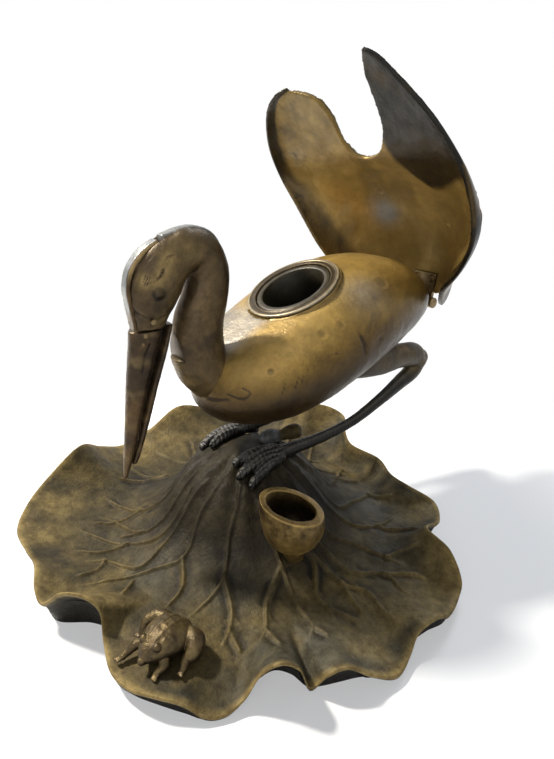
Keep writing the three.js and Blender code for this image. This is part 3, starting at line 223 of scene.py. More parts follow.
def skin(name, grid, closed_rows=False, **paint):
    """Closed skin over rings of points, each open end closed by a fan, with its faces turned out."""
    grid = np.asarray(grid, float)
    rows, columns = grid.shape[:2]
    points = grid.reshape(-1, 3)
    faces = grid_faces(rows, columns, closed_rows)
    extra, more = [], {key: [] for key in paint}
    for row, flip in () if closed_rows else ((0, True), (rows - 1, False)):
        centre = len(points) + len(extra)
        extra.append(grid[row].mean(0))
        for key, values in paint.items():
            more[key].append(float(np.asarray(values)[row].mean()))
        for c in range(columns):
            a, b = row * columns + c, row * columns + (c + 1) % columns
            faces.append([centre, b, a] if flip else [centre, a, b])
    if extra:
        points = np.vstack([points, extra])
    paint = {key: np.concatenate([np.asarray(v, float).ravel(), more[key]]) for key, v in paint.items()}
    corners = points[np.array([face + face[-1:] * (4 - len(face)) for face in faces])]
    first, second, third, fourth = corners.transpose(1, 0, 2)
    if (first * (np.cross(second, third) + np.cross(third, fourth))).sum() < 0:
        faces = [face[::-1] for face in faces]
    return mesh_object(name, points, faces, **paint)


def points_of(obj):
    co = np.empty(len(obj.data.vertices) * 3)
    obj.data.vertices.foreach_get("co", co)
    return co.reshape(-1, 3) / MM


def normals_of(obj):
    no = np.empty(len(obj.data.vertices) * 3)
    obj.data.vertices.foreach_get("normal", no)
    return no.reshape(-1, 3)


def moved(obj, points):
    obj.data.vertices.foreach_set("co", (points * MM).ravel())
    obj.data.update()
    return obj


def placed(obj, matrix):
    return moved(obj, through(points_of(obj), matrix))


def carve(obj, amount):
    """Move each point along its normal by an amount in millimetres."""
    return moved(obj, points_of(obj) + normals_of(obj) * np.asarray(amount)[:, None])


def applied(obj):
    """Replace an object's mesh by its modified mesh and drop the modifiers."""
    graph = bpy.context.evaluated_depsgraph_get()
    mesh = bpy.data.meshes.new_from_object(obj.evaluated_get(graph))
    old = obj.data
    obj.modifiers.clear()
    obj.data = mesh
    bpy.data.meshes.remove(old)


def drop(*objects):
    for obj in objects:
        mesh = obj.data
        bpy.data.objects.remove(obj)
        bpy.data.meshes.remove(mesh)


def combined(obj, tools, operation="DIFFERENCE"):
    """Cut tools from an object, or join them to it, and drop the tools."""
    for tool in tools:
        mod = obj.modifiers.new("combine", "BOOLEAN")
        mod.operation, mod.object, mod.solver = operation, tool, "EXACT"
        applied(obj)
        drop(tool)
    obj.data.polygons.foreach_set("use_smooth", [True] * len(obj.data.polygons))
    return obj


def fused(name, parts, voxel, rounds):
    """Melt closed forms into one skin and soften it."""
    points, faces, start = [], [], 0
    for part in parts:
        points.append(points_of(part))
        faces += [[v + start for v in face.vertices] for face in part.data.polygons]
        start += len(part.data.vertices)
    drop(*parts)
    obj = mesh_object(name, np.vstack(points), faces)
    mod = obj.modifiers.new("melt", "REMESH")
    mod.mode, mod.voxel_size, mod.use_smooth_shade = "VOXEL", voxel * MM, True
    applied(obj)
    if rounds:
        mod = obj.modifiers.new("soften", "SMOOTH")
        mod.factor, mod.iterations = 0.5, rounds
        applied(obj)
    return obj


def limb(name, stations, sides=48, steps=60, side_way=(1, 0, 0)):
    """Round-ended limb along a smooth path. A station is a place, a half width and a half depth."""
    rows = curve_points([(*place, across, deep) for place, across, deep in stations], steps)
    path, across, deep = rows[:, :3], rows[:, 3], rows[:, 4]
    tangent = unit(np.gradient(path, axis=0))
    side = np.asarray(side_way, float)
    normal = unit(side - (tangent @ side)[:, None] * tangent)
    binormal = np.cross(tangent, normal)
    angle = np.linspace(0, FULL, sides, endpoint=False)
    rings = (path[:, None] + normal[:, None] * (across[:, None] * np.cos(angle))[..., None]
             + binormal[:, None] * (deep[:, None] * np.sin(angle))[..., None])
    turns = np.linspace(0, math.pi / 2, CAP_RINGS, endpoint=False)[:0:-1]

    def cap(i, sign):
        reach = min(across[i], deep[i]) * sign
        return [path[i] + (rings[i] - path[i]) * math.cos(turn) + tangent[i] * (math.sin(turn) * reach)
                for turn in turns]

    return skin(name, cap(0, -1) + list(rings) + cap(-1, 1)[::-1])


def ball(name, centre, radii, sides=40, rows=24):
    turn = np.linspace(0, math.pi, rows + 1)[1:-1]
    angle = np.linspace(0, FULL, sides, endpoint=False)
    tt, aa = np.meshgrid(turn, angle, indexing="ij")
    grid = np.stack([np.sin(tt) * np.cos(aa), np.sin(tt) * np.sin(aa), -np.cos(tt)], -1)
    return skin(name, grid * radii + np.asarray(centre, float))


def rod(name, start, end, radius, sides=64):
    """Plain cylinder between two points, for cutting and joining."""
    start, end = np.asarray(start, float), np.asarray(end, float)
    way = unit(end - start)
    side = unit(np.cross(way, (0, 0, 1) if abs(way[2]) < 0.9 else (1, 0, 0)))
    other = np.cross(way, side)
    angle = np.linspace(0, FULL, sides, endpoint=False)[:, None]
    ring = radius * (np.cos(angle) * side + np.sin(angle) * other)
    return skin(name, [start + ring, end + ring])


def turned(name, profile, sides=128, solid=False, **paint):
    """Outline of radius and height turned about Z: a closed one for a ring, an open one for a solid."""
    outline = np.asarray(profile, float)
    angle = np.linspace(0, FULL, sides, endpoint=False)
    rr, aa = np.meshgrid(outline[:, 0], angle, indexing="ij")
    zz = np.repeat(outline[:, 1][:, None], sides, 1)
    paint = {key: np.repeat(np.asarray(v, float)[:, None], sides, 1) for key, v in paint.items()}
    return skin(name, np.stack([rr * np.cos(aa), rr * np.sin(aa), zz], -1), closed_rows=not solid, **paint)


def prism(name, outline, reach):
    """Flat outline pulled along a reach, for cutting."""
    low = np.asarray(outline, float)
    count = len(low)
    faces = grid_faces(2, count) + [list(range(count))[::-1], list(range(count, 2 * count))]
    if np.cross(low, np.roll(low, -1, axis=0)).sum(0) @ np.asarray(reach, float) < 0:
        faces = [face[::-1] for face in faces]
    return mesh_object(name, np.vstack([low, low + reach]), faces)


# Materials


def node(tree, kind, **values):
    made = tree.nodes.new(kind)
    for key, value in values.items():
        if key in made.inputs:
            made.inputs[key].default_value = value
        else:
            setattr(made, key, value)
    return made


def bronze(name, dark, middle, light, worn, roughness=(0.32, 0.5), metallic=0.6, blotch=26.0,
           grain=0.25, tint=None, gloss=0.3, mottled=0.55):
    """Patinated bronze: blotches from dark to light, with coats where painted: gold for wear and painted
    highlight, dark patina and painted shade, and a painted reflection.
    """
    material = bpy.data.materials.new(name)
    material.use_nodes = True
    tree = material.node_tree
    shader = tree.nodes["Principled BSDF"]
    place = node(tree, "ShaderNodeTexCoord").outputs["Object"]

    def noise(size, detail, rough=0.6, warp=0.0):
        made = node(tree, "ShaderNodeTexNoise", Scale=1000.0 / size, Detail=detail, Roughness=rough,
                    Distortion=warp)
        tree.links.new(place, made.inputs["Vector"])
        return made.outputs["Fac"]

    def feed(value, socket):
        if isinstance(value, bpy.types.NodeSocket):
            tree.links.new(value, socket)
        else:
            socket.default_value = (*value, 1) if isinstance(value, tuple) else value

    def stops(fac, *rows):
        made = node(tree, "ShaderNodeValToRGB")
        while len(made.color_ramp.elements) < len(rows):
            made.color_ramp.elements.new(0.5)
        for element, (position, color) in zip(made.color_ramp.elements, rows):
            element.position = position
            element.color = (*color, 1)
        feed(fac, made.inputs["Fac"])
        return made.outputs["Color"]

    def mix(fac, a, b, mode="MIX"):
        made = node(tree, "ShaderNodeMix", data_type="RGBA", blend_type=mode)
        for value, index in ((fac, 0), (a, 6), (b, 7)):
            feed(value, made.inputs[index])
        return made.outputs[2]

    def maths(kind, a, b):
        made = node(tree, "ShaderNodeMath", operation=kind)
        feed(a, made.inputs[0])
        feed(b, made.inputs[1])
        return made.outputs[0]

    blotches = noise(blotch, 6, 0.62, 0.6)
    specks = noise(SPECK, 5, 0.75)
    color = stops(blotches, (0.3, dark), (0.47, middle), (0.68, light))
    color = mix(stops(specks, (0.5, NONE), (0.72, (0.55, 0.55, 0.55))), color, dark)
    if tint is not None:
        color = mix(stops(noise(blotch * 1.7, 3), (0.52, NONE), (0.7, (0.6, 0.6, 0.6))), color, tint)
    # Painted coats: gold for wear and painted highlight, patina and painted shade, and painted reflection;
    # for each the noise that breaks it up, its weight, what always stays, and the tone
    coats = (("soot", blotches, 0.9, 0.55, tuple(c * 0.42 for c in dark)), ("gold", specks, 0.8, 0.5, worn),
             ("cool", specks, 0.6, 0.6, PAINTED_REFLECTION_TONE))
    for key, broken, weight, steady, tone in coats:
        coat = node(tree, "ShaderNodeAttribute", attribute_name=key).outputs["Fac"]
        share = maths("MULTIPLY", coat, maths("ADD", maths("MULTIPLY", broken, weight), steady))
        color = mix(share, color, tone)
    mottle = stops(noise(MOTTLE, 6, 0.72), (0.36, (0.5, 0.48, 0.46)), (0.62, (1.15, 1.15, 1.15)))
    feed(mix(mottled, color, mottle, "MULTIPLY"), shader.inputs["Base Color"])
    shader.inputs["Metallic"].default_value = metallic
    shader.inputs["Specular IOR Level"].default_value = gloss
    rough = node(tree, "ShaderNodeMapRange", **{"To Min": roughness[0], "To Max": roughness[1]})
    rough.inputs["From Min"].default_value, rough.inputs["From Max"].default_value = 0.35, 0.68
    feed(noise(7.0, 4), rough.inputs["Value"])
    feed(rough.outputs["Result"], shader.inputs["Roughness"])
    bump = node(tree, "ShaderNodeBump", Strength=grain, Distance=BUMP_HEIGHT * MM)
    feed(noise(PITTING, 4, 0.7), bump.inputs["Height"])
    feed(bump.outputs["Normal"], shader.inputs["Normal"])
    return material


# Sizes of the fine marks in the metal, in millimetres, and the tones that several metals share
SPECK, MOTTLE, PITTING, BUMP_HEIGHT = 2.6, 4.5, 1.3, 0.6
NONE = (0, 0, 0)
GOLD = (0.37, 0.225, 0.045)
OCHRE = (0.2, 0.118, 0.024)
BROWN = (0.06, 0.034, 0.011)
BLACK_BROWN = (0.022, 0.015, 0.009)
# Tone of the gold coat, which carries wear and also painted highlight
WEAR_AND_HIGHLIGHT_TONE = (0.45, 0.3, 0.09)
# Tone of the painted reflection of a pale sky
PAINTED_REFLECTION_TONE = (0.3, 0.315, 0.32)

materials = {
    "leaf": bronze("leaf_bronze", (0.013, 0.011, 0.008), (0.046, 0.036, 0.016), (0.11, 0.08, 0.028),
                   (0.3, 0.215, 0.08), (0.48, 0.66), 0.15, 34.0, 0.6, (0.05, 0.055, 0.05), 0.14, 1.0),
    "body": bronze("body_bronze", BROWN, OCHRE, GOLD, WEAR_AND_HIGHLIGHT_TONE, (0.3, 0.46), 0.4, 30.0, 0.3, mottled=0.35),
    "lid": bronze("lid_bronze", (0.016, 0.012, 0.006), OCHRE, (0.4, 0.265, 0.075), WEAR_AND_HIGHLIGHT_TONE,
                  (0.28, 0.44), 0.4, 34.0, 0.25, mottled=0.3),
    "head": bronze("head_bronze", (0.02, 0.012, 0.006), (0.052, 0.033, 0.014), (0.115, 0.075, 0.03),
                   (0.34, 0.24, 0.09), (0.34, 0.5), 0.4, 15.0, 0.35),
    "dark": bronze("dark_bronze", BLACK_BROWN, (0.055, 0.034, 0.016), (0.11, 0.066, 0.026),
                   (0.38, 0.27, 0.12), (0.3, 0.46), 0.5, 18.0, 0.25),
    "leg": bronze("leg_bronze", (0.009, 0.008, 0.007), (0.02, 0.016, 0.01), (0.05, 0.036, 0.016),
                  (0.2, 0.13, 0.045), (0.34, 0.5), 0.3, 14.0, 0.4),
    "frog": bronze("frog_bronze", (0.045, 0.03, 0.014), (0.12, 0.082, 0.034), (0.25, 0.18, 0.07),
                   WEAR_AND_HIGHLIGHT_TONE, (0.32, 0.48), 0.55, 7.0, 0.5),
    "cup": bronze("cup_bronze", (0.05, 0.032, 0.013), (0.17, 0.11, 0.04), (0.36, 0.25, 0.09),
                  WEAR_AND_HIGHLIGHT_TONE, (0.3, 0.46), 0.6, 8.0, 0.35),
    "ring": bronze("ring_brass", (0.05, 0.034, 0.014), (0.11, 0.075, 0.032), (0.2, 0.145, 0.07),
                   (0.5, 0.4, 0.22), (0.26, 0.4), 0.5, 12.0, 0.1),
    "pot": bronze("pot_brass", (0.006, 0.006, 0.004), (0.014, 0.013, 0.008), (0.04, 0.032, 0.016),
                  (0.25, 0.18, 0.09), (0.35, 0.5), 0.3, 10.0, 0.15),
    "fixings": bronze("fixing_brass", (0.11, 0.075, 0.035), (0.24, 0.17, 0.08), (0.38, 0.29, 0.15),
                      (0.6, 0.48, 0.27), (0.28, 0.42), 0.8, 5.0, 0.15),
}


def finish(obj, material, body, slot, *nodes):
    """Give a piece its material, its body and the nodes it stands for."""
    obj.data.materials.clear()
    obj.data.materials.append(materials[material])
    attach(obj, body)
    if nodes:
        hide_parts(*nodes)


# Leaf

LEAF_REACH, RIM_HEIGHT, HUMP_HEIGHT = 98.0, 28.0, 44.5
VALLEY_RADIUS, VALLEY_HEIGHT, LEAF_CURL = 60.0, 8.5, 1.7
LEAF_WALL = 2.2
# Angle in degrees, then reach, rim height and reach of the foot, as shares
leaf_rim = [
    (213, 0.92, 0.96, 0.73), (224, 0.98, 0.71, 0.87), (236, 1, 0.61, 0.92), (245, 1, 0.54, 0.93),
    (253, 0.95, 0.5, 0.89), (261, 0.92, 0.57, 0.91), (268, 0.94, 0.5, 0.91), (272, 0.94, 0.43, 0.895),
    (278, 0.89, 0.71, 0.805), (283.5, 0.85, 0.75, 0.775), (287.5, 0.83, 0.61, 0.78),
    (290.5, 0.86, 0.32, 0.84), (297, 0.93, 0.25, 0.918), (302.5, 0.96, 0.25, 0.935),
    (308, 0.97, 0.3, 0.94), (314, 0.965, 0.25, 0.95), (318.5, 0.97, 0.12, 0.96),
    (322, 0.955, 0.1, 0.925), (325.5, 0.92, 0.18, 0.865), (329, 0.91, 0.5, 0.812),
    (333, 0.93, 0.71, 0.788), (336.5, 0.92, 0.55, 0.812), (339.5, 0.9, 0.12, 0.875),
    (342.5, 0.925, 0.36, 0.885), (346.5, 0.937, 0.43, 0.892), (351.5, 0.96, 0.25, 0.908),
    (357, 0.98, 0.12, 0.957), (362.5, 0.95, 0.14, 0.945), (366, 0.935, 0.29, 0.91),
    (372.5, 0.95, 0.32, 0.92), (377, 0.967, 0.21, 0.95), (384.5, 0.965, 0.18, 0.95),
    (388, 0.96, 0.25, 0.94), (391, 0.9, 0.57, 0.83), (398, 0.8, 0.61, 0.73), (407, 0.86, 0.43, 0.82),
    (417, 0.87, 0.43, 0.83), (423, 0.77, 0.57, 0.71), (434, 0.75, 0.5, 0.7), (443, 0.76, 0.57, 0.7),
    (455, 0.7, 0.71, 0.65), (462, 0.76, 0.79, 0.68), (468, 0.875, 0.86, 0.73), (474, 0.88, 0.96, 0.72),
    (481.5, 0.85, 1, 0.7), (490, 0.86, 0.79, 0.74), (500, 0.9, 0.54, 0.84), (510, 0.88, 0.43, 0.84),
    (520, 0.92, 0.71, 0.81), (532, 0.94, 0.89, 0.78), (544, 0.92, 0.61, 0.84), (554, 0.95, 0.43, 0.9),
    (564, 0.93, 0.68, 0.83),
]
hump_rows = [(0, 1), (0.13, 1), (0.27, 0.92), (0.38, 0.79), (0.475, 0.63), (0.54, 0.48), (0.6, 0.345),
             (0.683, 0.22), (0.783, 0.12), (0.9, 0.04), (1, 0)]
# Veins as rows of angle in degrees and radius, each stem before its branches
leaf_veins = [
    [(372, 20), (376, 32), (380, 43), (386, 52), (387, 64), (386, 74)], [(387, 64), (392, 70), (394, 76)],
    [(390, 22), (394, 32), (395.5, 39), (397, 47), (404, 57), (414, 68)], [(404, 57), (403, 68), (402, 76)],
    [(400, 24), (403, 34), (404, 40), (419, 48), (428, 58), (433, 66)], [(428, 58), (423, 68)],
    [(412, 26), (424, 36), (442, 47), (455, 62)], [(442, 47), (440, 60)],
    [(362, 22), (367, 34), (370, 48), (371, 56), (379, 67), (376, 76), (376.5, 84)],
    [(379, 67), (384, 76), (385, 82)],
    [(352, 24), (360, 38), (363, 48), (364, 58), (368, 67), (366, 75), (365.5, 83)],
    [(364, 58), (361.5, 67), (361, 74)],
    [(346, 24), (357, 38), (360, 46), (352.5, 57), (353, 66), (351, 74)], [(353, 65), (358.5, 75)],
    [(334, 24), (342, 36), (343.5, 46), (344, 58), (345, 69), (341.5, 76)], [(345, 69), (347.5, 77)],
    [(343, 44), (333.5, 55), (331.5, 67), (329, 73)], [(331.5, 67), (334.5, 78)],
    [(320, 18), (318, 28), (314.5, 34), (315, 44), (313.5, 50), (306, 65)],
    [(315, 46), (320.5, 58), (320.6, 66), (319, 73)], [(320.6, 66), (324.7, 75)],
    [(304, 16), (293, 26), (289, 32), (291, 43), (280, 53), (277, 58), (272, 70), (269, 80)],
    [(291, 44), (298.5, 53), (297, 63)], [(278.5, 60), (283, 68)],
    [(284, 20), (276, 34), (275, 45), (275, 55), (263, 64), (260, 77)],
    [(262.5, 64), (266, 68), (266.5, 77)],
    [(268, 20), (270, 34), (268, 43), (258, 54), (246, 69), (241, 76)], [(258, 54), (257, 67), (254, 75)],
    [(256, 20), (259, 32), (259, 40), (256.5, 47), (239, 60), (234, 70)], [(256, 47), (251, 57)],
    [(238, 22), (240, 36), (236, 48), (228, 60), (222, 72)], [(236, 48), (240, 60), (239, 70)],
    [(470, 22), (472, 36), (468, 50), (462, 60)], [(468, 50), (474, 62), (476, 72)],
    [(492, 22), (490, 36), (494, 50), (500, 64), (501, 76)], [(494, 50), (488, 62), (487, 72)],
    [(512, 20), (516, 36), (514, 50), (510, 66), (508, 78)], [(514, 50), (521, 64), (523, 76)],
    [(534, 22), (536, 36), (540, 50), (545, 64), (548, 78)], [(540, 50), (534, 62), (532, 74)],
    [(554, 20), (556, 36), (560, 50), (563, 64), (562, 78)], [(560, 50), (568, 62), (572, 72)],
    [(448, 24), (452, 36), (450, 50), (446, 62)],
]
LEAF_ANGLES, HUMP_RINGS, BRIM_RINGS = 900, 110, 80
# The lip's inset, radius and drop, the tuck of the skirt, and the underside's inset and clearance
LIP_ROLL, LIP_RADIUS, LIP_DROP = 1.1, 0.7, 0.75
SKIRT_TUCK, UNDER_INSET, UNDER_GAP = 0.62, 3.2, 0.6
VEIN_REACH, STEM_START = 5, 40
stalk_rows = [((1.9, 9.0, 45.4), 3.4, 3.4), ((2.1, 11.5, 45.5), 3.5, 3.5), ((2.8, 16, 45), 2.3, 2.3),
              ((3.5, 20.5, 45.2), 3.3, 3.3), ((3.9, 23, 45.2), 3.5, 3.5)]


def rim_curves(count):
    """Rim and foot of the leaf as two closed rows of points."""
    rows = np.array(leaf_rim)
    angle = np.radians(rows[:, 0])
    way = np.stack([np.cos(angle), np.sin(angle)], -1)
    edge = np.c_[way * (rows[:, 1] * LEAF_REACH)[:, None], rows[:, 2] * RIM_HEIGHT,
                 way * (rows[:, 3] * LEAF_REACH)[:, None]]
    both = curve_points(edge, count, closed=True)
    return both[:, :3], both[:, 3:]


def hump_height(radius):
    share = between(hump_rows, radius / VALLEY_RADIUS)
    return VALLEY_HEIGHT + (HUMP_HEIGHT - VALLEY_HEIGHT) * share


def leaf_place(radius, edge_radius, edge_height):
    rise = np.clip((radius - VALLEY_RADIUS) / (edge_radius - VALLEY_RADIUS), 0, 1)
    brim = VALLEY_HEIGHT + (edge_height - VALLEY_HEIGHT) * rise ** LEAF_CURL
    return np.where(radius <= VALLEY_RADIUS, hump_height(radius), brim)


def vein_field(points):
    """Height and brightness of the veins at places on the leaf."""
    height = np.zeros(len(points))
    shine = np.zeros(len(points))
    flat = points[:, :2]
    for rows in leaf_veins:
        polar = np.array(rows, float)
        angle = np.radians(polar[:, 0])
        knots = np.c_[polar[:, 1] * np.cos(angle), polar[:, 1] * np.sin(angle), np.zeros(len(rows))]
        line = curve_points(knots, 24)[:, :2]
        near = np.where(((flat > line.min(0) - VEIN_REACH) & (flat < line.max(0) + VEIN_REACH)).all(1))[0]
        gap, along = line_gap(flat[near], line)
        fade = ramp(along, 0, 0.12) if polar[0, 1] < STEM_START else 1.0
        fade = fade * (1 - ramp(along, 0.8, 1.0))
        ridge = hill(gap, 0.95 - 0.4 * along) * fade
        gully = (hill(gap, 3.0) - 0.9 * hill(gap, 1.4)) * fade
        height[near] = np.maximum(height[near], 0) + np.where(ridge > 0.04, ridge * 0.75, 0) - 0.22 * gully
        shine[near] = np.maximum(shine[near], ridge)
    return 1.5 * np.clip(height, -0.5, 0.95), shine


def leaf_edge(rim, foot, way, edge_radius):
    """Rings of the rolled lip, the tucked skirt and the hollow underside, and how many the lip has."""
    outward = np.c_[way, np.zeros(LEAF_ANGLES)]
    rings = [rim + outward * LIP_RADIUS * math.sin(turn) - (0, 0, LIP_DROP * (1 - math.cos(turn)))
             for turn in np.linspace(0, math.pi * 0.75, 7)[1:]]
    start, lip_rows = rings[-1], len(rings)

    def top_over(radius):
        return leaf_place(radius, edge_radius, rim[:, 2])

    for share in np.linspace(0, 1, 26)[1:]:
        place = start[:, :2] + (foot[:, :2] - start[:, :2]) * share ** SKIRT_TUCK
        cover = np.maximum(top_over(np.hypot(*place.T)) - LEAF_WALL, 0)
        rings.append(np.c_[place, np.clip(start[:, 2] * (1 - share), 0, cover)])
    inner_foot, inner_rim = foot[:, :2] - way * LEAF_WALL, start[:, :2] - way * UNDER_INSET
    rings.append(np.c_[inner_foot, np.zeros(LEAF_ANGLES)])
    inner_top = np.maximum(rim[:, 2] - 2.2 * LEAF_WALL, rim[:, 2] * 0.3)
    inner_top = np.minimum(inner_top, top_over(edge_radius - UNDER_INSET) - LEAF_WALL - UNDER_GAP)
    inner_top = np.maximum(inner_top, 0.8)
    for share in np.linspace(0, 1, 9)[1:]:
        place = inner_foot + (inner_rim - inner_foot) * (1 - (1 - share) ** SKIRT_TUCK)
        cover = np.maximum(top_over(np.hypot(*place.T)) - 1.6 * LEAF_WALL, 0.3)
        rings.append(np.c_[place, np.clip(inner_top * share, 0, cover)])
    for share in np.linspace(0.97, 0, 22):
        radius = VALLEY_RADIUS + share * (edge_radius - VALLEY_RADIUS - UNDER_INSET)
        z = np.maximum(top_over(radius) - LEAF_WALL - UNDER_GAP, UNDER_GAP)
        rings.append(np.c_[way * radius[:, None], z])
    for share in np.linspace(0.94, 0.02, 22):
        radius = share * VALLEY_RADIUS
        z = float(hump_height(radius)) - LEAF_WALL - UNDER_GAP
        rings.append(np.c_[way * max(radius - 1.6, 0.4), np.full(LEAF_ANGLES, z)])
    return np.array(rings), lip_rows


def leaf():
    rim, foot = rim_curves(LEAF_ANGLES)
    edge_radius = np.hypot(rim[:, 0], rim[:, 1])
    way = rim[:, :2] / edge_radius[:, None]
    # The rolled lip stays within the casting's own reach
    rim[:, :2] -= way * LIP_ROLL
    foot[:, :2] -= way * LIP_ROLL
    edge_radius = edge_radius - LIP_ROLL
    angle = np.arctan2(way[:, 1], way[:, 0])
    hump = np.linspace(0.01, 1, HUMP_RINGS)[:, None] * np.full(LEAF_ANGLES, VALLEY_RADIUS)
    brim = np.linspace(0, 1, BRIM_RINGS + 1)[1:, None] * (edge_radius - VALLEY_RADIUS)
    radii = np.vstack([hump, VALLEY_RADIUS + brim])
    reach = radii / edge_radius
    grid = np.stack([radii * way[:, 0], radii * way[:, 1], leaf_place(radii, edge_radius, rim[:, 2])], -1)
    veins, shine = (field.reshape(radii.shape) for field in vein_field(grid.reshape(-1, 3)))
    # Gathers like drawn cloth run down the raised middle
    gather = np.cos(17 * angle + 2.2 * np.sin(2 * angle) + 0.6 * waves(grid, 14, 6))
    gather = gather * hill(radii - 24, 15) * 0.85 + waves(grid, 5, 7) * 0.3 * hill(radii - 22, 20)
    edge_fade = 1 - ramp(reach, 0.93, 1)
    ripple = waves(grid * (1, 1, 0.4), 26, 5) * 0.6 * ramp(radii, 40, 60) * edge_fade
    lift = (veins - 0.3) * edge_fade + gather + ripple
    grid[..., 2] += lift * ramp(radii, 6, 14)
    edge, lip_rows = leaf_edge(rim, foot, way, edge_radius)
    whole = np.concatenate([grid, edge])
    gold, soot = np.zeros(whole.shape[:2]), np.zeros(whole.shape[:2])
    top_rows, skirt_row = len(grid), len(grid) + lip_rows
    worn = soft_noise(grid, 38, 21)
    gold[:top_rows] = shine * 0.22 * ramp(radii, 34, 56) + 0.5 * ramp(reach, 0.975, 1.0)
    gold[:top_rows] += 0.45 * ramp(reach, 0.72, 0.95) * ramp(worn, 0.35, 0.8) + 0.1 * worn
    gold[top_rows:skirt_row] = 0.8
    # Painted shade darkens the raised middle where the bird's shadow falls, and painted light makes the front
    # side lighter; the gullies beside the veins take dark patina
    painted_lit_side = ramp(np.cos(angle - math.radians(262)), 0.55, 1.0)
    soot[:top_rows] = 1.2 * (1 - ramp(radii, 28, 60)) + 0.75 * ramp(-veins, 0.02, 0.2)
    soot[:top_rows] *= 1 - 0.25 * painted_lit_side * ramp(radii, 20, 50)
    # Painted shade: the skirt and the hollow underside are dark, and the first rings of the skirt below the
    # lip less so
    soot[skirt_row:] = 0.85
    soot[skirt_row:skirt_row + 3] = 0.4
    return skin("leaf_casting", whole, gold=gold, soot=soot)


def leaf_height_at(x, y):
    """Height of the leaf's plain upper face below a place."""
    rim, _ = rim_curves(LEAF_ANGLES)
    turn = np.arctan2(rim[:, 1], rim[:, 0]) - math.atan2(y, x)
    nearest = np.argmin(np.abs(np.arctan2(np.sin(turn), np.cos(turn))))
    radius = math.hypot(x, y)
    return float(leaf_place(np.array(radius), math.hypot(*rim[nearest, :2]), rim[nearest, 2]))


def stalk():
    """Rolled stalk that lies behind the feet, with a painted pale reflection on the end beside them."""
    body = limb("stalk", stalk_rows)
    points = points_of(body)
    swirl = np.arctan2(points[:, 2] - 45, points[:, 0] - 2.8)
    points[:, 2] += 0.12 * np.sin(3 * swirl + points[:, 1] * 0.5)
    # Painted reflection: the end beside the feet takes a pale sky tone
    reflecting_end = ramp(14 - points[:, 1], -2, 2)
    return painted(moved(body, points), gold=0.25 * (1 - reflecting_end), soot=0.45, cool=0.5 * reflecting_end)


finish(leaf(), "leaf", "base", "bronze_leaf", "leaf_base")
finish(stalk(), "leaf", "base", "bronze_leaf")


# Bird's body

BODY_LENGTH, BODY_HALF_WIDTH, BODY_HALF_HEIGHT, BODY_WALL = 122.0, 33.5, 26.2, 2.6
BREAST_Y, BREAST_Z, BODY_RISE = -22.0, 73.0, 24.0
HEIGHT_TAPER, WIDTH_TAPER, SQUARENESS, BELLY_SHARE = 0.36, 0.25, 2.25, 0.86
DECK_SOFTNESS, DECK_ROUNDING = 0.12, 2.4
TAIL_FLAT_Y = 98.2
SEAT_RADIUS, HOLE_RADIUS, NOSE_WALL = 20.6, 17.5, 10.0
backbone = [(0, 0), (0.246, 0.29), (0.59, 0.85), (0.82, 1), (1, 0.88)]
WELL_PLACE = np.array([0, 24.9, 108.4])
WELL_FRAME = Matrix.Translation(WELL_PLACE.tolist()) @ Matrix.Rotation(math.radians(26), 4, "X")
WELL_NORMAL = np.array(WELL_FRAME.to_3x3() @ Vector((0, 0, 1)))
# Small dents: place, radius, depth and how much its ring stands up
body_dents = [
    ((23.6, 51.2, 111.4), 3.3, 0.3, 0.5), ((29.1, 25.1, 100.1), 2.1, 0.25, 0.7),
    ((28.0, 17.2, 97.8), 2.3, 0.3, 0.7), ((25.1, 4.0, 92.4), 1.9, 0.18, 0.5),
    ((23.7, -3.7, 86.2), 1.7, 0.45, 0.3), ((9.4, -11.6, 90.4), 1.5, 0.3, 0.3),
    ((33.0, 42.3, 92.3), 1.2, 0.3, 0.2), ((32.1, 20.4, 90.4), 1.0, 0.3, 0.2),
    ((-24.0, 30.0, 100.0), 2.0, 0.25, 0.6), ((-27.0, 8.0, 92.0), 1.6, 0.25, 0.5),
    ((22.5, 46.3, 112.0), 1.0, -0.15, 0.0),
]
# Chased lines: places on the skin, then width and depth
body_lines = [
    ([(33.2, 31.2, 97), (33.4, 33.3, 92.2), (32.8, 34, 88)], 0.9, 0.55),
    ([(31.2, 39.5, 101.5), (32.4, 37.2, 97), (32.8, 35.2, 93.5)], 0.6, 0.25),
    ([(14.5, -16.5, 77.5), (19.2, -12.9, 76.2), (20.6, -10.6, 78.6), (18.6, -12.6, 80.2)], 0.6, 0.3),
    ([(3.5, -21.2, 75), (8.5, -20.2, 74.2), (14.5, -16.5, 75.5)], 0.7, 0.35),
    ([(29.6, 60, 88), (30.3, 53.8, 87.2), (31.6, 47, 88.4)], 0.7, 0.3),
]
hatching = [((29.9, 6.7, 81.5), 5), ((30.7, 11.4, 86.0), 5), ((31.5, 16.2, 88.9), 4), ((27.5, 1.0, 79.0), 4)]


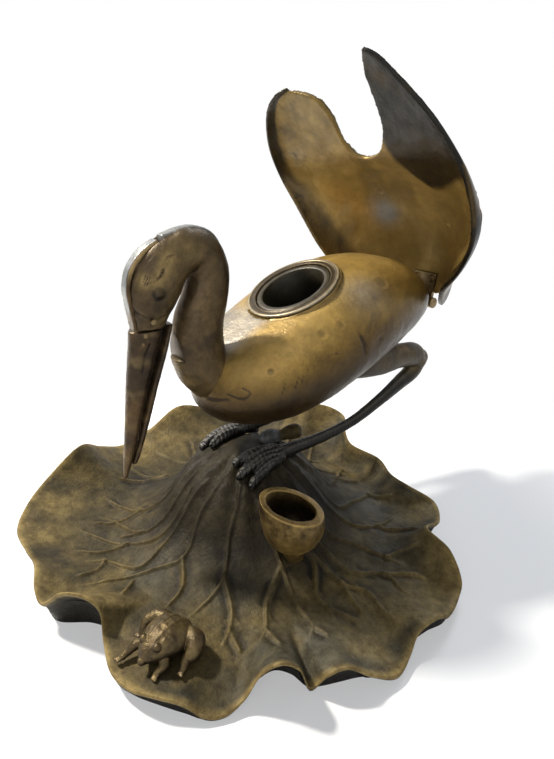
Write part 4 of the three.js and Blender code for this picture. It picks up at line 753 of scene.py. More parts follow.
def body_grid(rows, columns, inset=0.0, nose_inset=None, rounding=0.0):
    nose_inset = inset if nose_inset is None else nose_inset
    turn = np.linspace(0.012, math.pi - 0.012, rows)
    along = (1 - np.cos(turn)) / 2
    y = BREAST_Y + inset + along * (BODY_LENGTH - inset - nose_inset)
    z = BREAST_Z + BODY_RISE * between(backbone, (y - BREAST_Y) / BODY_LENGTH)
    half_width = (BODY_HALF_WIDTH - inset) * np.sin(turn) * (1 + WIDTH_TAPER * (0.5 - along))
    half_height = (BODY_HALF_HEIGHT - inset) * np.sin(turn) * (1 + HEIGHT_TAPER * (0.5 - along))
    angle = np.linspace(0, FULL, columns, endpoint=False)
    across = signed_power(np.cos(angle), 2 / SQUARENESS)
    up = signed_power(np.sin(angle), 2 / SQUARENESS) * np.where(np.sin(angle) < 0, BELLY_SHARE, 1)
    grid = np.stack([half_width[:, None] * across, np.repeat(y[:, None], columns, 1),
                     z[:, None] + half_height[:, None] * up], -1)
    above = (grid - WELL_PLACE) @ WELL_NORMAL + inset
    soft = (above + np.sqrt(above ** 2 + rounding ** 2)) / 2
    return grid - (soft * (1 - DECK_SOFTNESS))[..., None] * WELL_NORMAL


def body():
    shell = skin("body_casting", body_grid(260, 300, rounding=DECK_ROUNDING))
    strokes = []
    for centre, count in hatching:
        for i in range(count):
            step = i - count / 2
            start = np.array(centre) + (0, 2.1 * step, 1.1 * step) + rng.normal(0, 0.3, 3)
            strokes.append(([start, start + (0.4, 0.9, 3.2), start + (0.5, 1.4, 5.0)], 0.33, 0.12))
    points = points_of(shell)
    hammer = waves(points, 13, 31) * 0.16 + waves(points, 3.2, 32) * 0.035
    marks = dent_field(points, body_dents) + line_field(points, body_lines) + line_field(points, strokes)
    carve(shell, hammer - marks)
    boss = turned("boss", [(SEAT_RADIUS, -4), (SEAT_RADIUS, -0.3), (SEAT_RADIUS - 0.3, 0.02)], solid=True)
    combined(shell, [placed(boss, WELL_FRAME)], "UNION")
    seat = rod("seat", WELL_PLACE, WELL_PLACE + 8 * WELL_NORMAL, SEAT_RADIUS, 128)
    hollow = skin("hollow", body_grid(90, 100, BODY_WALL, NOSE_WALL))
    hole = rod("well_hole", WELL_PLACE - 12 * WELL_NORMAL, WELL_PLACE + 6 * WELL_NORMAL, HOLE_RADIUS, 128)
    nose = skin("nose", [[(-30, y, 60), (30, y, 60), (30, y, 130), (-30, y, 130)]
                         for y in (TAIL_FLAT_Y, 120)])
    combined(shell, [seat, hollow, hole, nose])
    points, normals = points_of(shell), normals_of(shell)
    dents, lines = dent_field(points, body_dents), line_field(points, body_lines)
    hatch = line_field(points, strokes)
    middle = BREAST_Z + BODY_RISE * between(backbone, (points[:, 1] - BREAST_Y) / BODY_LENGTH)
    # Darker lower body below the middle line, partly dark patina and partly painted shade
    underside_shade = ramp(middle - points[:, 2], -15, 6)
    above = (points - WELL_PLACE) @ WELL_NORMAL
    from_axis = np.linalg.norm(points - WELL_PLACE - above[:, None] * WELL_NORMAL, axis=1)
    # Painted shadow in a thin band round the ring's seat, just below the deck
    ring_shadow = hill(from_axis - SEAT_RADIUS - 0.3, 0.9) * ramp(above, -5, -1)
    soot = 0.95 * underside_shade + 0.75 * ring_shadow + 0.8 * ramp(lines, 0.08, 0.3) + 0.7 * ramp(dents, 0.06, 0.3)
    soot += 0.3 * ramp(hatch, 0.03, 0.1) + 0.45 * hill(gap_to(points, (12, -10, 88)), 7)
    soot += 0.3 * hill(points[:, 1] - 96, 7)
    # Gold coat: a painted highlight on skin that faces up, random worn patches, none on the darker lower
    # body, and a bright spot beside the neck's root
    gold = 0.5 * ramp(normals[:, 2], 0.1, 0.9) + 0.25 * ramp(soft_noise(points, 30, 33), 0.45, 0.85)
    gold = gold * (1 - underside_shade) + 0.35 * hill(gap_to(points, (10, -12, 88)), 6)
    # Painted reflection of the sky on the flat deck between the neck and the ring on the bird's right half,
    # and a painted highlight on the upper left flank behind the ring
    deck = ramp(above, -3.5, -0.5) * ramp(normals @ WELL_NORMAL, 0.7, 0.95)
    cool = deck * ramp(11 - points[:, 1], -4, 8) * 0.6 * ramp(-points[:, 0], -12, -2)
    cool += 0.5 * hill(np.linalg.norm((points - (24, 42, 108)) * (1, 0.8, 1), axis=1), 7)
    return painted(shell, soot=soot, gold=gold * (1 - cool), cool=cool)


finish(body(), "body", "base", "bronze_gilt", "body_shell")


# Neck and head

neck_rows = [
    ((0, -13.5, 79), 10.4, 10.2), ((0, -18.6, 85), 10, 10.2), ((0, -20.4, 91), 9.6, 10.4),
    ((0, -19.2, 103), 8.8, 9.4), ((0, -15.4, 114), 7.8, 8.4), ((0, -14.6, 122), 7.6, 7.8),
    ((0, -18, 128.3), 7.6, 7.7), ((0, -24, 129.4), 7.9, 8),
]
head_rows = [
    ((0, -20, 128.8), 7.4, 7.2), ((0, -26, 128), 8, 8.2), ((0, -31.6, 124.4), 8.4, 9.4),
    ((0, -35.4, 119), 8.2, 9.9), ((0, -37.6, 113), 7.4, 8.7), ((0, -38.8, 107.5), 6, 6.8),
    ((0, -39.4, 103), 5, 5.6),
]
crown_line = [
    (-45.4, 106.5), (-46.3, 113), (-46.6, 119.6), (-44.4, 126), (-40, 130.8), (-33.8, 134.1), (-27, 136.2),
    (-20.4, 137), (-14, 134.8), (-9.4, 129.4),
]
CROWN_END, CROWN_HALF_WIDTH, CROWN_THICKNESS, CROWN_TRAVEL = 0.545, 2.5, 1.8, 1.7
CROWN_STEPS = 400
crown_path = curve_points([(0, y, z) for y, z in crown_line], CROWN_STEPS + 1)
crown_way = unit(np.gradient(crown_path, axis=0))
crown_in = np.stack([crown_path[:, 0], crown_way[:, 2], -crown_way[:, 1]], -1)
CROWN_NOTCH = CROWN_END + 1.9 / np.linalg.norm(np.diff(crown_path, axis=0), axis=1).sum()
EYE = np.array([7.55, -37.4, 117.2])
# Brow over the left eye: places and radii
brow_rows = [(4.6, -41.6, 121.4, 0.8), (6.0, -40.1, 121.0, 1.1), (6.6, -37.2, 122.0, 1.5),
             (6.8, -35.2, 124.6, 1.5), (6.4, -33.1, 127.3, 1.0)]
# Chased lines of the face: places on the left side, then width and depth
head_lines = [
    ([(2.2, -45.2, 112.6), (4.4, -43.6, 110.0), (6.4, -41.0, 108.2), (6.7, -38.4, 107.6),
      (5.8, -35.2, 108.2)], 0.5, 0.75),
    ([(6.4, -40.6, 118.6), (7.3, -39.2, 119.6), (7.7, -36.6, 119.2), (7.7, -35.0, 116.8)], 0.35, 0.3),
    ([(6.4, -40.6, 115.8), (7.3, -38.4, 114.9), (7.8, -36.0, 115.2)], 0.35, 0.28),
    ([(4.0, -44.0, 119.0), (4.6, -43.0, 123.0), (4.8, -39.8, 127.6), (4.6, -34.0, 131.0)], 0.45, 0.22),
]
comb_line = [(5.6, -41.5, 121.9), (7.1, -39.9, 121.2), (7.9, -37.2, 121.9), (8.0, -35.2, 124.8),
             (7.6, -33.0, 128.2), (6.8, -30.8, 130.0)]
slot_outline = [(-60, 98), (-36, 98), (-36, 112), (-44.4, 116.2), (-60, 116.2)]


def crown_at(share, depth):
    row = int(round(share * CROWN_STEPS))
    return crown_path[row] + depth * crown_in[row]


def strip_block(name, start, end, outer, inner, half_width, steps=60, inner_end=None, rounded=0.0):
    """Block along the crown line between two depths, with its outer long edges rounded."""
    inner_end = inner if inner_end is None else inner_end
    corner = [(half_width, outer)]
    if rounded:
        corner = [(half_width - rounded * (1 - math.cos(turn)), outer + rounded * (1 - math.sin(turn)))
                  for turn in np.linspace(0, math.pi / 2, 5)]
    rings = []
    for t in np.linspace(0, 1, steps):
        half = [(half_width, inner + (inner_end - inner) * t)] + corner
        section = half + [(-x, depth) for x, depth in half[::-1]]
        rings.append([crown_at(start + (end - start) * t, depth) + (x, 0, 0) for x, depth in section])
    return skin(name, rings)


def head_strokes(arc):
    """Short combed strokes, along the brow and then behind the eye."""
    strokes = []
    for i, place in enumerate(arc):
        lean = unit((0.1, 0.5 + 0.03 * i, 1.0 - 0.04 * i))
        strokes.append(([place - 1.4 * lean, place + (0.1, 0, 0), place + 1.7 * lean], 0.24, 0.26))
    for i in range(16):
        place = np.array([8.1, -33.6 + 0.9 * (i % 8), 117.5 + 3.0 * (i // 8)]) + rng.normal(0, 0.35, 3)
        strokes.append(([place, place + (0, 0.8, 1.0), place + (0, 1.3, 2.2)], 0.3, 0.1))
    return strokes


def head():
    parts = [limb("neck", neck_rows, 72, 110), limb("skull", head_rows, 72, 90),
             strip_block("ridge", CROWN_NOTCH, 0.97, -0.5, 5.4, CROWN_HALF_WIDTH, rounded=0.9)]
    parts += [ball("eye", EYE * (side, 1, 1), (1.3, 1.5, 1.5)) for side in (1, -1)]
    parts += [limb("brow", [((side * x, y, z), r, r * 0.8) for x, y, z, r in brow_rows], 20, 30)
              for side in (1, -1)]
    casting = fused("head_casting", parts, 0.42, 5)
    arc = curve_points(comb_line, 22)
    strokes = head_strokes(arc)
    points = points_of(casting)
    side = mirrored(points)
    hammer = waves(points, 9, 41) * 0.14 + waves(points, 2.6, 42) * 0.04
    carve(casting, hammer - line_field(side, head_lines) - line_field(side, strokes))
    end = skin("end", [[(-20, -60, z), (20, -60, z), (20, y, z), (-20, y, z)]
                       for y, z in ((-28.6, 90), (-30.6, 104.6))])
    travel = CROWN_THICKNESS + CROWN_TRAVEL
    groove = strip_block("groove", 0, CROWN_NOTCH, -6, travel + 0.9, CROWN_HALF_WIDTH + 0.4, inner_end=travel)
    slot = skin("slot", [[(x, y, z) for y, z in slot_outline] for x in (-3, 3)])
    combined(casting, [end, groove, slot])
    points, normals = points_of(casting), normals_of(casting)
    side = mirrored(points)
    chased, combed = line_field(side, head_lines), line_field(side, strokes)
    brow = hill(np.min([gap_to(side, place) for place in arc[:18]], axis=0), 2.4)
    gap = gap_to(side, EYE + (0.3, 0, 0))
    eye = hill(gap - 1.9, 0.55) + 0.4 * hill(gap, 1.0)
    # Painted shade on faces that turn down
    underside_shade = ramp(-normals[:, 2], 0.0, 0.8)
    patches = soft_noise(points, 16, 43)
    low = ramp(100 - points[:, 2], 0, 22)
    # Painted highlight on the nape
    nape_highlight = hill(np.linalg.norm((side - (6, -26, 131)) * (0.8, 0.6, 1), axis=1), 4.5)
    # Painted reflection of the sky along the top of the crown ridge, in place of gold
    ridge_reflection = ramp(points[:, 2], 131, 136) * ramp(2.6 - np.abs(points[:, 0]), -0.4, 0.6)
    gold = 0.7 * brow * (1 - ramp(combed, 0.05, 0.2)) + 0.3 * low * patches + 0.2 * ramp(patches, 0.5, 0.9)
    gold += 0.35 * nape_highlight
    soot = 0.9 * ramp(chased, 0.1, 0.5) + 0.8 * eye + 0.5 * ramp(combed, 0.06, 0.2) + 0.55 * underside_shade
    soot += 0.5 * hill(gap_to(side, (6, -36, 112)), 7)
    return painted(casting, soot=soot, gold=gold * (1 - ridge_reflection), cool=ridge_reflection * 0.7)


finish(head(), "head", "base", "bronze_dark", "neck_head")


# Bill and the strip over the crown

# Height, middle, half width and half depth
upper_bill_rows = [
    (103.7, -40.3, 4.9, 6.1), (93.6, -42.8, 4.4, 5.2), (83.5, -45.5, 3.8, 4.1), (72.9, -48.0, 3.2, 3.2),
    (61.7, -50.5, 2.45, 2.3), (52.2, -52.9, 1.5, 1.3), (48.6, -53.8, 0.8, 0.7), (47.9, -54.0, 0.3, 0.3),
]
lower_bill_rows = [
    (104.3, -32.2, 4.3, 1.45), (94.2, -35.4, 3.9, 1.7), (84.1, -39.1, 3.4, 1.8), (73.5, -42.6, 2.8, 1.7),
    (62.3, -46.3, 2.1, 1.4), (53.4, -49.9, 1.3, 0.9), (52.9, -50.1, 0.5, 0.4),
]
web_outline = [(-44.2, 101.5), (-37.6, 101.5), (-37.6, 110.0), (-40.6, 111.8), (-44.8, 114.2), (-45.9, 111.4),
               (-45.2, 104.5)]
# Slot, line of the mouth and edge of the upper plate: places on the left side, then width and depth
bill_lines = [
    ([(4.7, -41.2, 99.2), (4.6, -42.6, 96.4), (4.4, -43.8, 92.4), (4.2, -44.6, 89.6)], 0.5, 0.45),
    ([(4.4, -36.6, 102), (4.0, -39.6, 94), (3.4, -42.8, 84), (2.8, -45.8, 74), (2.2, -48.8, 64)], 0.45, 0.16),
    ([(2.8, -46.2, 97), (2.6, -48.3, 88), (2.3, -50.4, 78), (1.9, -53.0, 66)], 0.5, 0.12),
]
nostrils = [((4.6, -42.2, 102.4), 1.0, -0.5, 0.0), ((4.6, -43.4, 99.6), 0.9, -0.4, 0.0),
            ((4.6, -42.2, 101.0), 0.6, 0.3, 0.0)]


def bill_form(name, rows, steps, sides=72, keel=0.12):
    rows = curve_points([(0, y, z, a, b) for z, y, a, b in rows], steps)
    angle = np.linspace(0, FULL, sides, endpoint=False)
    across = signed_power(np.cos(angle), 0.95) * (1 + keel * np.sin(angle))
    deep = signed_power(np.sin(angle), 0.95)
    grid = np.stack([rows[:, 3, None] * across, rows[:, 1, None] + rows[:, 4, None] * deep,
                     np.repeat(rows[:, 2, None], sides, 1)], -1)
    return skin(name, grid)


def upper_bill():
    bill = bill_form("upper_bill", upper_bill_rows, 220)
    web = skin("web", [[(x, y, z) for y, z in web_outline] for x in (-2.6, 2.6)])
    strip = strip_block("strip", 0.0, CROWN_END, 0, CROWN_THICKNESS, CROWN_HALF_WIDTH, 140, rounded=0.7)
    lever = fused("bill_casting", [bill, web, strip], 0.3, 3)
    points = points_of(lever)
    side = mirrored(points)
    lines = sum(line_field(side, [line]) for line in bill_lines)
    bumps = dent_field(side, nostrils)
    carve(lever, waves(points, 7, 51) * 0.1 + waves(points, 1.9, 52) * 0.03 - lines - bumps)
    points, normals = points_of(lever), normals_of(lever)
    strip_part = ramp(points[:, 2], 108, 113)
    # Painted reflection of the sky on the crown strip's face that turns up and forward
    facing = (normals * (0, -1, 1)).sum(1)
    strip_top_reflection = strip_part * ramp(facing, 0.35, 1.0) * ramp(2.5 - np.abs(points[:, 0]), 0.1, 0.7)
    # Painted highlight on the sides of the crown strip near its upper end
    lit_flank = strip_part * ramp(np.abs(normals[:, 0]), 0.5, 0.9) * ramp(points[:, 2], 119, 126)
    patches = soft_noise(points, 11, 53)
    gold = 0.95 * lit_flank + 0.22 * ramp(patches, 0.5, 0.9) + 0.35 * ramp(-bumps, 0.1, 0.3)
    gold += 0.12 * ramp(64 - points[:, 2], 0, 14)
    behind = ramp(points[:, 1] + 50 - (points[:, 2] - 75) * 0.27, -1, 6)
    soot = 0.8 * ramp(lines, 0.08, 0.3) + 0.35 * behind * (1 - strip_part)
    return painted(lever, gold=gold, soot=soot, cool=0.85 * strip_top_reflection)


def lower_bill():
    bill = bill_form("lower_bill_casting", lower_bill_rows, 180, keel=-0.1)
    points = points_of(bill)
    carve(bill, waves(points, 6, 55) * 0.08 + waves(points, 1.7, 56) * 0.03)
    return painted(bill, gold=0.15 * ramp(waves(points, 9, 57), 0.1, 0.8), soot=0.35)


finish(upper_bill(), "dark", "bill", "bronze_dark", "bill_lever")
finish(lower_bill(), "dark", "base", "bronze_dark", "lower_bill")


# Lid, which is the raised tail

HINGE_Y, HINGE_Z, LID_OPEN = 103.5, 91.5, 57.5
LID_LENGTH, LID_EXTRA, LID_HALF_WIDTH, LID_DEPTH, LID_WALL, LID_SQUARENESS = 116.0, 5.3, 50.0, 17.6, 2.0, 2.1
# Share of the length, then half width and rim height on the near side and on the far side
lid_rim = np.array([
    (0.025, 0.28, 0.12, 0.28, 0.12), (0.075, 0.4, -0.4, 0.38, -0.5), (0.19, 0.58, -0.66, 0.54, -0.82),
    (0.29, 0.8, -0.64, 0.64, -0.93), (0.38, 0.94, -0.5, 0.71, -0.93), (0.45, 0.985, -0.38, 0.78, -0.85),
    (0.55, 0.99, -0.25, 0.885, -0.71), (0.65, 0.98, -0.25, 1, -0.57), (0.77, 0.87, -0.2, 0.97, -0.57),
    (0.865, 0.73, -0.15, 0.87, -0.57), (0.94, 0.61, -0.15, 0.76, -0.5), (0.985, 0.52, -0.17, 0.61, -0.41),
    (1, 0.44, -0.19, 0.47, -0.25)])
lid_crest = [
    (0.025, 0.22), (0.07, 0.57), (0.12, 0.79), (0.19, 0.88), (0.285, 0.93), (0.41, 0.89), (0.53, 0.63),
    (0.66, 0.17), (0.78, -0.01), (0.91, -0.13), (1, -0.19)]
notch = [
    (-0.47, 0.955), (-0.24, 0.91), (-0.18, 0.835), (-0.2, 0.74), (-0.18, 0.68), (-0.1, 0.655), (0.02, 0.66),
    (0.15, 0.69), (0.25, 0.74), (0.325, 0.8), (0.365, 0.89), (0.38, 0.975), (0.44, 1.045)]
# Edge of the painted shadow on the near lobe as places across and along, and the painted highlight, in the
# lid's own frame
lid_shade = [(12, -63), (18, -55.3), (25, -57), (32, -61.2), (39, -66), (50, -70)]
LID_GLINT = np.array([-15.8, -40.4, 13.1])
lid_stand = Matrix.Translation((0, HINGE_Y, HINGE_Z)) @ Matrix.Rotation(-math.radians(LID_OPEN), 4, "X")
PLATE_WAY = np.array([0, -math.sqrt(0.5), math.sqrt(0.5)])
PLATE_OUT = np.array([0, math.sqrt(0.5), math.sqrt(0.5)])
PLATE_LENGTH, PLATE_HALF_WIDTH, PLATE_THICKNESS = 13.5, 6.8, 1.5
PLATE_START, PLATE_GAP, KNUCKLE_REACH, KNUCKLE_RADIUS = 1.56, 0.3, 9.35, 2.95
RIVET_SHARE, RIVET_SPREAD, RIVET_HOLE_RADIUS = 0.82, 4.6, 1.2
LID_ROOT, LID_VOXEL, FEATHER_ROWS, FEATHER_STRIPS = 0.025, 0.5, 5, 5.5
# Small dents in the hollow: place, radius, depth and how much the ring stands up
lid_dents = [((20, -38, 13.5), 2.2, 0.3, 0.4), ((-14, -52, 12.5), 1.8, 0.3, 0.4),
             ((32, -60, 7), 1.5, 0.3, 0.3), ((6, -70, 9), 1.4, 0.25, 0.3)]


def lid_side(across, along, column):
    near = between(lid_rim, along, 1 + column)
    far = between(lid_rim, along, 3 + column)
    return np.where(across > 0, near, far)


def lid_place(across, along):
    """Hollow face of the lid in its own frame, across in shares from -1 to 1."""
    across, along = np.broadcast_arrays(np.asarray(across, float), np.asarray(along, float))
    half_width = LID_HALF_WIDTH * lid_side(across, along, 0)
    rim_height = LID_DEPTH * lid_side(across, along, 1)
    crest = LID_DEPTH * between(lid_crest, along)
    dome = np.clip(1 - np.abs(across) ** LID_SQUARENESS, 0, 1) ** (1 / LID_SQUARENESS)
    length = LID_LENGTH + LID_EXTRA * across
    return np.stack([half_width * across, -along * length, rim_height + (crest - rim_height) * dome], -1)


def lid_normal(across, along):
    step = 0.004
    low, high = np.maximum(along - step, LID_ROOT), np.minimum(along + step, 1)
    inner = np.clip(across, -1 + 2 * step, 1 - 2 * step)
    lengthways = lid_place(inner, high) - lid_place(inner, low)
    sideways = lid_place(inner + step, along) - lid_place(inner - step, along)
    normal = unit(np.cross(lengthways, sideways))
    return normal * np.sign(normal[..., 2:])


def lid_shares(local):
    """Share across and share along of points near the lid."""
    across = np.zeros(len(local))
    for _ in range(4):
        along = np.clip(-local[:, 1] / (LID_LENGTH + LID_EXTRA * across), LID_ROOT, 1)
        across = np.clip(local[:, 0] / (LID_HALF_WIDTH * lid_side(local[:, 0], along, 0)), -1, 1)
    return across, along


def feathers(across, along):
    """Long feathers laid like tiles: height, dark gap and bright edge at places on the outer face."""
    fan = np.abs(across) * FEATHER_STRIPS
    step = along * FEATHER_ROWS + 0.35 * np.floor(fan)
    length = step % 1
    inside = (fan + 0.5 * (np.floor(step) % 2)) % 1
    side_gap = np.minimum(inside, 1 - inside)
    tip = 1 - ((inside - 0.5) * 2) ** 2 * 0.35
    past = ramp(length, tip - 0.06, tip + 0.02)
    seam = hill(side_gap, 0.045)
    height = 0.9 * np.clip(length / tip, 0, 1) * (1 - past) + 0.12 + 0.18 * hill(inside - 0.5, 0.05)
    height += np.sin(length * 26 + np.abs(inside - 0.5) * 18) * 0.06 - 0.35 * seam
    edge = hill(length - tip + 0.05, 0.05) + hill(side_gap - 0.1, 0.05) * 0.6
    return height, np.clip(seam + past * 0.5, 0, 1), np.clip(edge, 0, 1)


def lid_marks(points):
    """Shares and normals of the lid near points, how much each lies outside, and the feathers there."""
    across, along = lid_shares(points)
    way = lid_normal(across, along)
    depth = ((points - lid_place(across, along)) * way).sum(1)
    return across, along, way, ramp(depth, 0.9, 1.7), feathers(across, along)


def lid():
    along = np.concatenate([np.linspace(LID_ROOT, 0.12, 26)[:-1], np.linspace(0.12, 0.9, 120)[:-1],
                            np.linspace(0.9, 1, 26)])
    aa, tt = np.meshgrid(np.sin(np.linspace(-math.pi / 2, math.pi / 2, 150)), along)
    inner = lid_place(aa, tt)
    outer = inner + LID_WALL * lid_normal(aa, tt)
    shell = skin("lid_casting", np.concatenate([inner, outer[:, ::-1]], 1))
    shell = fused("lid_casting", [shell], LID_VOXEL, 0)
    edge = curve_points([(x * LID_HALF_WIDTH, -y * LID_LENGTH, 0) for x, y in notch], 70)
    outline = np.vstack([edge, [(25, -160, 0), (0, -160, 0), (-25, -160, 0)]])
    combined(shell, [prism("notch", outline + (0, 0, -50), (0, 0, 100))])
    shell = fused("lid_casting", [shell], LID_VOXEL, 4)
    points = points_of(shell)
    across, along, way, outside, (height, _, _) = lid_marks(points)
    edge = ramp(np.abs(across), 0.93, 0.99) + ramp(along, 0.88, 0.95)
    lift = outside * (height - 0.35) * ramp(along, 0.1, 0.2) * (1 - np.clip(edge, 0, 1))
    hammer = waves(points, 24, 61) * 0.2 + waves(points, 6, 62) * 0.05 + dent_field(points, lid_dents)
    moved(shell, points + way * (lift + hammer * (1 - outside))[:, None])
    # Room for the hinge's plate, knuckles and rivets
    near, far = PLATE_START - PLATE_GAP, PLATE_LENGTH + PLATE_GAP
    low, high = -PLATE_GAP, PLATE_THICKNESS + PLATE_GAP
    section = [PLATE_WAY * a + PLATE_OUT * b for a, b in ((near, low), (far, low), (far, high), (near, high))]
    reach = PLATE_HALF_WIDTH + PLATE_GAP
    tools = [skin("plate_room", [[corner + (x, 0, 0) for corner in section] for x in (-reach, reach)]),
             rod("knuckle_room", (-KNUCKLE_REACH, 0, 0), (KNUCKLE_REACH, 0, 0), KNUCKLE_RADIUS)]
    for side in (1, -1):
        place = PLATE_WAY * RIVET_SHARE * PLATE_LENGTH + (side * RIVET_SPREAD, 0, 0)
        tools.append(rod("hole", place - PLATE_OUT, place + 6 * PLATE_OUT, RIVET_HOLE_RADIUS))
    combined(shell, tools)
    points = points_of(shell)
    across, along, _, outside, (_, seam, bright) = lid_marks(points)
    inside = 1 - outside
    rim = ramp(np.abs(across), 0.955, 0.995) + ramp(along, 0.985, 1)
    blotch, small = soft_noise(points, 32, 63), soft_noise(points, 11, 64)
    # Painted pool of light in the hollow around the painted highlight
    sunny = hill(gap_to(points, LID_GLINT + (6, 10, 0)), 30)
    far_tip = ramp(-across, 0.0, 0.3) * ramp(along, 0.5, 0.85)
    # Painted shadow over the near lobe's hollow, beyond the shade line towards its tip
    edge_y = np.interp(points[:, 0], *np.array(lid_shade).T)
    near_lobe_shadow = ramp(points[:, 0], 10, 14) * ramp(edge_y - points[:, 1], -2.5, 2.5)
    band = ramp(np.abs(across), 0.9, 0.965) * np.where(across > 0, 1, 0.75)
    gold = inside * (0.3 + 0.4 * ramp(blotch, 0.3, 0.75) + 0.45 * sunny)
    gold += outside * 0.5 * bright * ramp(along, 0.08, 0.2)
    gold += 0.3 * ramp(rim, 0.5, 0.9) * ramp(small, 0.5, 0.8)
    soot = 0.92 * near_lobe_shadow + 0.8 * far_tip * (0.5 + 0.5 * small) + 0.9 * band
    soot += 0.5 * ramp(small, 0.62, 0.9) * ramp(blotch, 0.4, 0.1)
    soot += 0.35 * hill(gap_to(points, LID_GLINT + (4, -5, 0)) - 12, 3) * ramp(small, 0.4, 0.7)
    soot = inside * soot + outside * (0.75 + 0.25 * seam) + 0.6 * ramp(rim, 0.2, 0.8) * ramp(small, 0.35, 0.2)
    # Painted highlight in the hollow, with a faint painted reflection where the blotches are pale
    glint = hill(gap_to(points, LID_GLINT), 6.5)
    cool = inside * (0.1 * ramp(1 - blotch, 0.6, 0.95) + 1.2 * glint) * (1 - band)
    gold = gold * (1 - near_lobe_shadow) * (1 - band) * (1 - 0.8 * far_tip)
    return painted(placed(shell, lid_stand), gold=gold, soot=soot, cool=cool)


finish(lid(), "lid", "lid", "bronze_gilt", "lid_shell")


# Legs

LEG_SPREAD, THIGH_SPREAD, HIP_Y, FOOT_Y = 14.0, 16.0, 59.0, 5.5
TOE_REACH, TOE_RADIUS, HIND_TOE_REACH = 18.5, 1.9, 9.0
thigh_rows = [
    (36, 80, 5.2, 6.5), (48, 77, 6.4, 8.4), (61, 73.6, 5.8, 6.6), (74, 72.8, 5, 5.8), (84, 71, 4.8, 5.8),
    (88.2, 67.6, 4.4, 5),
]
shank_rows = [
    (89, 69, 4.2, 4.8), (84.6, 63, 3.8, 4.2), (76, 59, 3, 3.6), (62, 53.4, 2.4, 2.8), (47, 47.8, 2.1, 2.4),
    (30, 45, 2.1, 2.5), (14, 44.6, 2.8, 2.8), (6, 45, 3.4, 2.8),
]
toe_rows = [(-0.25, 0.9), (0.04, 1), (0.33, 0.87)]
toe_stations = [(0, 1.4, 1.55), (0.4, 1.25, 1.45), (0.75, 1.0, 1.25), (1, 0.7, 0.9)]


def leg(name, side):
    def spread(y):
        return LEG_SPREAD + (THIGH_SPREAD - LEG_SPREAD) * max(0, 1 - abs(y - HIP_Y) / (HIP_Y - FOOT_Y))

    def on_leaf(x, y, lift):
        return (side * x, y, leaf_height_at(side * x, y) + lift)

    thigh = limb("thigh", [((side * spread(y), y, z), a, b) for y, z, a, b in thigh_rows], 56, 70)
    shank = limb("shank", [((side * spread(y), y, z), a, b) for y, z, a, b in shank_rows], 48, 110)
    toes = []
    for turn, reach in toe_rows:
        stations = []
        for share, lift, radius in toe_stations:
            x = LEG_SPREAD + turn * TOE_REACH * (0.3 + 0.7 * share)
            stations.append((on_leaf(x, FOOT_Y - share * reach * TOE_REACH, TOE_RADIUS * lift),
                             TOE_RADIUS * radius, TOE_RADIUS * radius))
        toes.append(limb("toe", stations, 32, 40))
    hind = [(on_leaf(LEG_SPREAD, FOOT_Y, TOE_RADIUS), TOE_RADIUS, TOE_RADIUS),
            (on_leaf(LEG_SPREAD, FOOT_Y + HIND_TOE_REACH, TOE_RADIUS), 1.24, 1.24)]
    toes.append(limb("toe", hind, 32, 30))
    whole = fused(name, [thigh, shank] + toes, 0.33, 4)
    points = points_of(whole)
    low = ramp(57 - points[:, 2], 0, 6)
    along = points[:, 1] * 0.95 - points[:, 2] * 0.25
    foot = ramp(12 - points[:, 1], 0, 8) * low
    rings = np.abs(((along / 1.9) % 1) - 0.5) * 2
    crease = hill(rings - 1, 0.25)
    ridges = np.sin(points[:, 0] * 3.1 + waves(points, 9, 72) * 1.5) * foot
    carve(whole, -0.5 * crease * (0.2 * low + 0.8 * foot) + 0.2 * ridges + waves(points, 5, 71) * 0.07)
    points, normals = points_of(whole), normals_of(whole)
    shank_part = ramp(70 - points[:, 2], 0, 10)
    # Painted highlight along the top of the shank
    edge = hill(normals[:, 2] - 0.75, 0.22) * shank_part
    thigh_part = 1 - ramp(68 - points[:, 2], 0, 9)
    patches = soft_noise(points, 12, 73)
    # Painted light and shade: the thigh's gold is stronger where it faces up and its underside is darker; the
    # shank keeps its own dark tone and the creases take patina
    gold = thigh_part * (0.18 + 0.5 * ramp(patches, 0.4, 0.8) * ramp(normals[:, 2], -0.2, 0.8)) + 0.12 * edge
    soot = 0.75 * shank_part + 0.35 * ramp(-normals[:, 2], 0.1, 0.8) * thigh_part + 0.5 * crease * low
    # Painted reflection on the shank's highlight line and on the foot's ridges that face up
    cool = 0.12 * edge + 0.3 * foot * ramp(crease, 0.55, 0.95) * ramp(normals[:, 2], 0.2, 0.8)
    return painted(whole, gold=gold, soot=soot, cool=cool)


for leg_name, leg_side in (("left_leg", 1), ("right_leg", -1)):
    finish(leg(leg_name + "_casting", leg_side), "leg", "base", "bronze_dark", leg_name)


# Bud cup

CUP_PLACE, CUP_RADIUS, CUP_WALL = (39.9, -5.4, 30.4), 12.0, 2.8
CUP_SHOULDER, CUP_MOUTH_HEIGHT, CUP_WAY = 26.0, 7.0, 54.0
cup_turn = Matrix.Translation(CUP_PLACE) @ Matrix.Rotation(math.radians(CUP_WAY), 4, "Z")
cup_lean = cup_turn @ Matrix.Rotation(math.radians(-12), 4, "Y")
cup_mouth = cup_turn @ Matrix.Rotation(math.radians(18), 4, "Y")


def bowl(name, inset):
    radius = CUP_RADIUS - inset
    profile = [(radius * math.sin(t), -radius * math.cos(t)) for t in np.linspace(0.01, math.pi / 2, 40)]
    profile += [(radius * math.sqrt(1 - (z / CUP_SHOULDER) ** 2), z)
                for z in np.linspace(1, 2 * CUP_MOUTH_HEIGHT + inset, 14)]
    return placed(turned(name, profile, 96, solid=True), cup_lean)


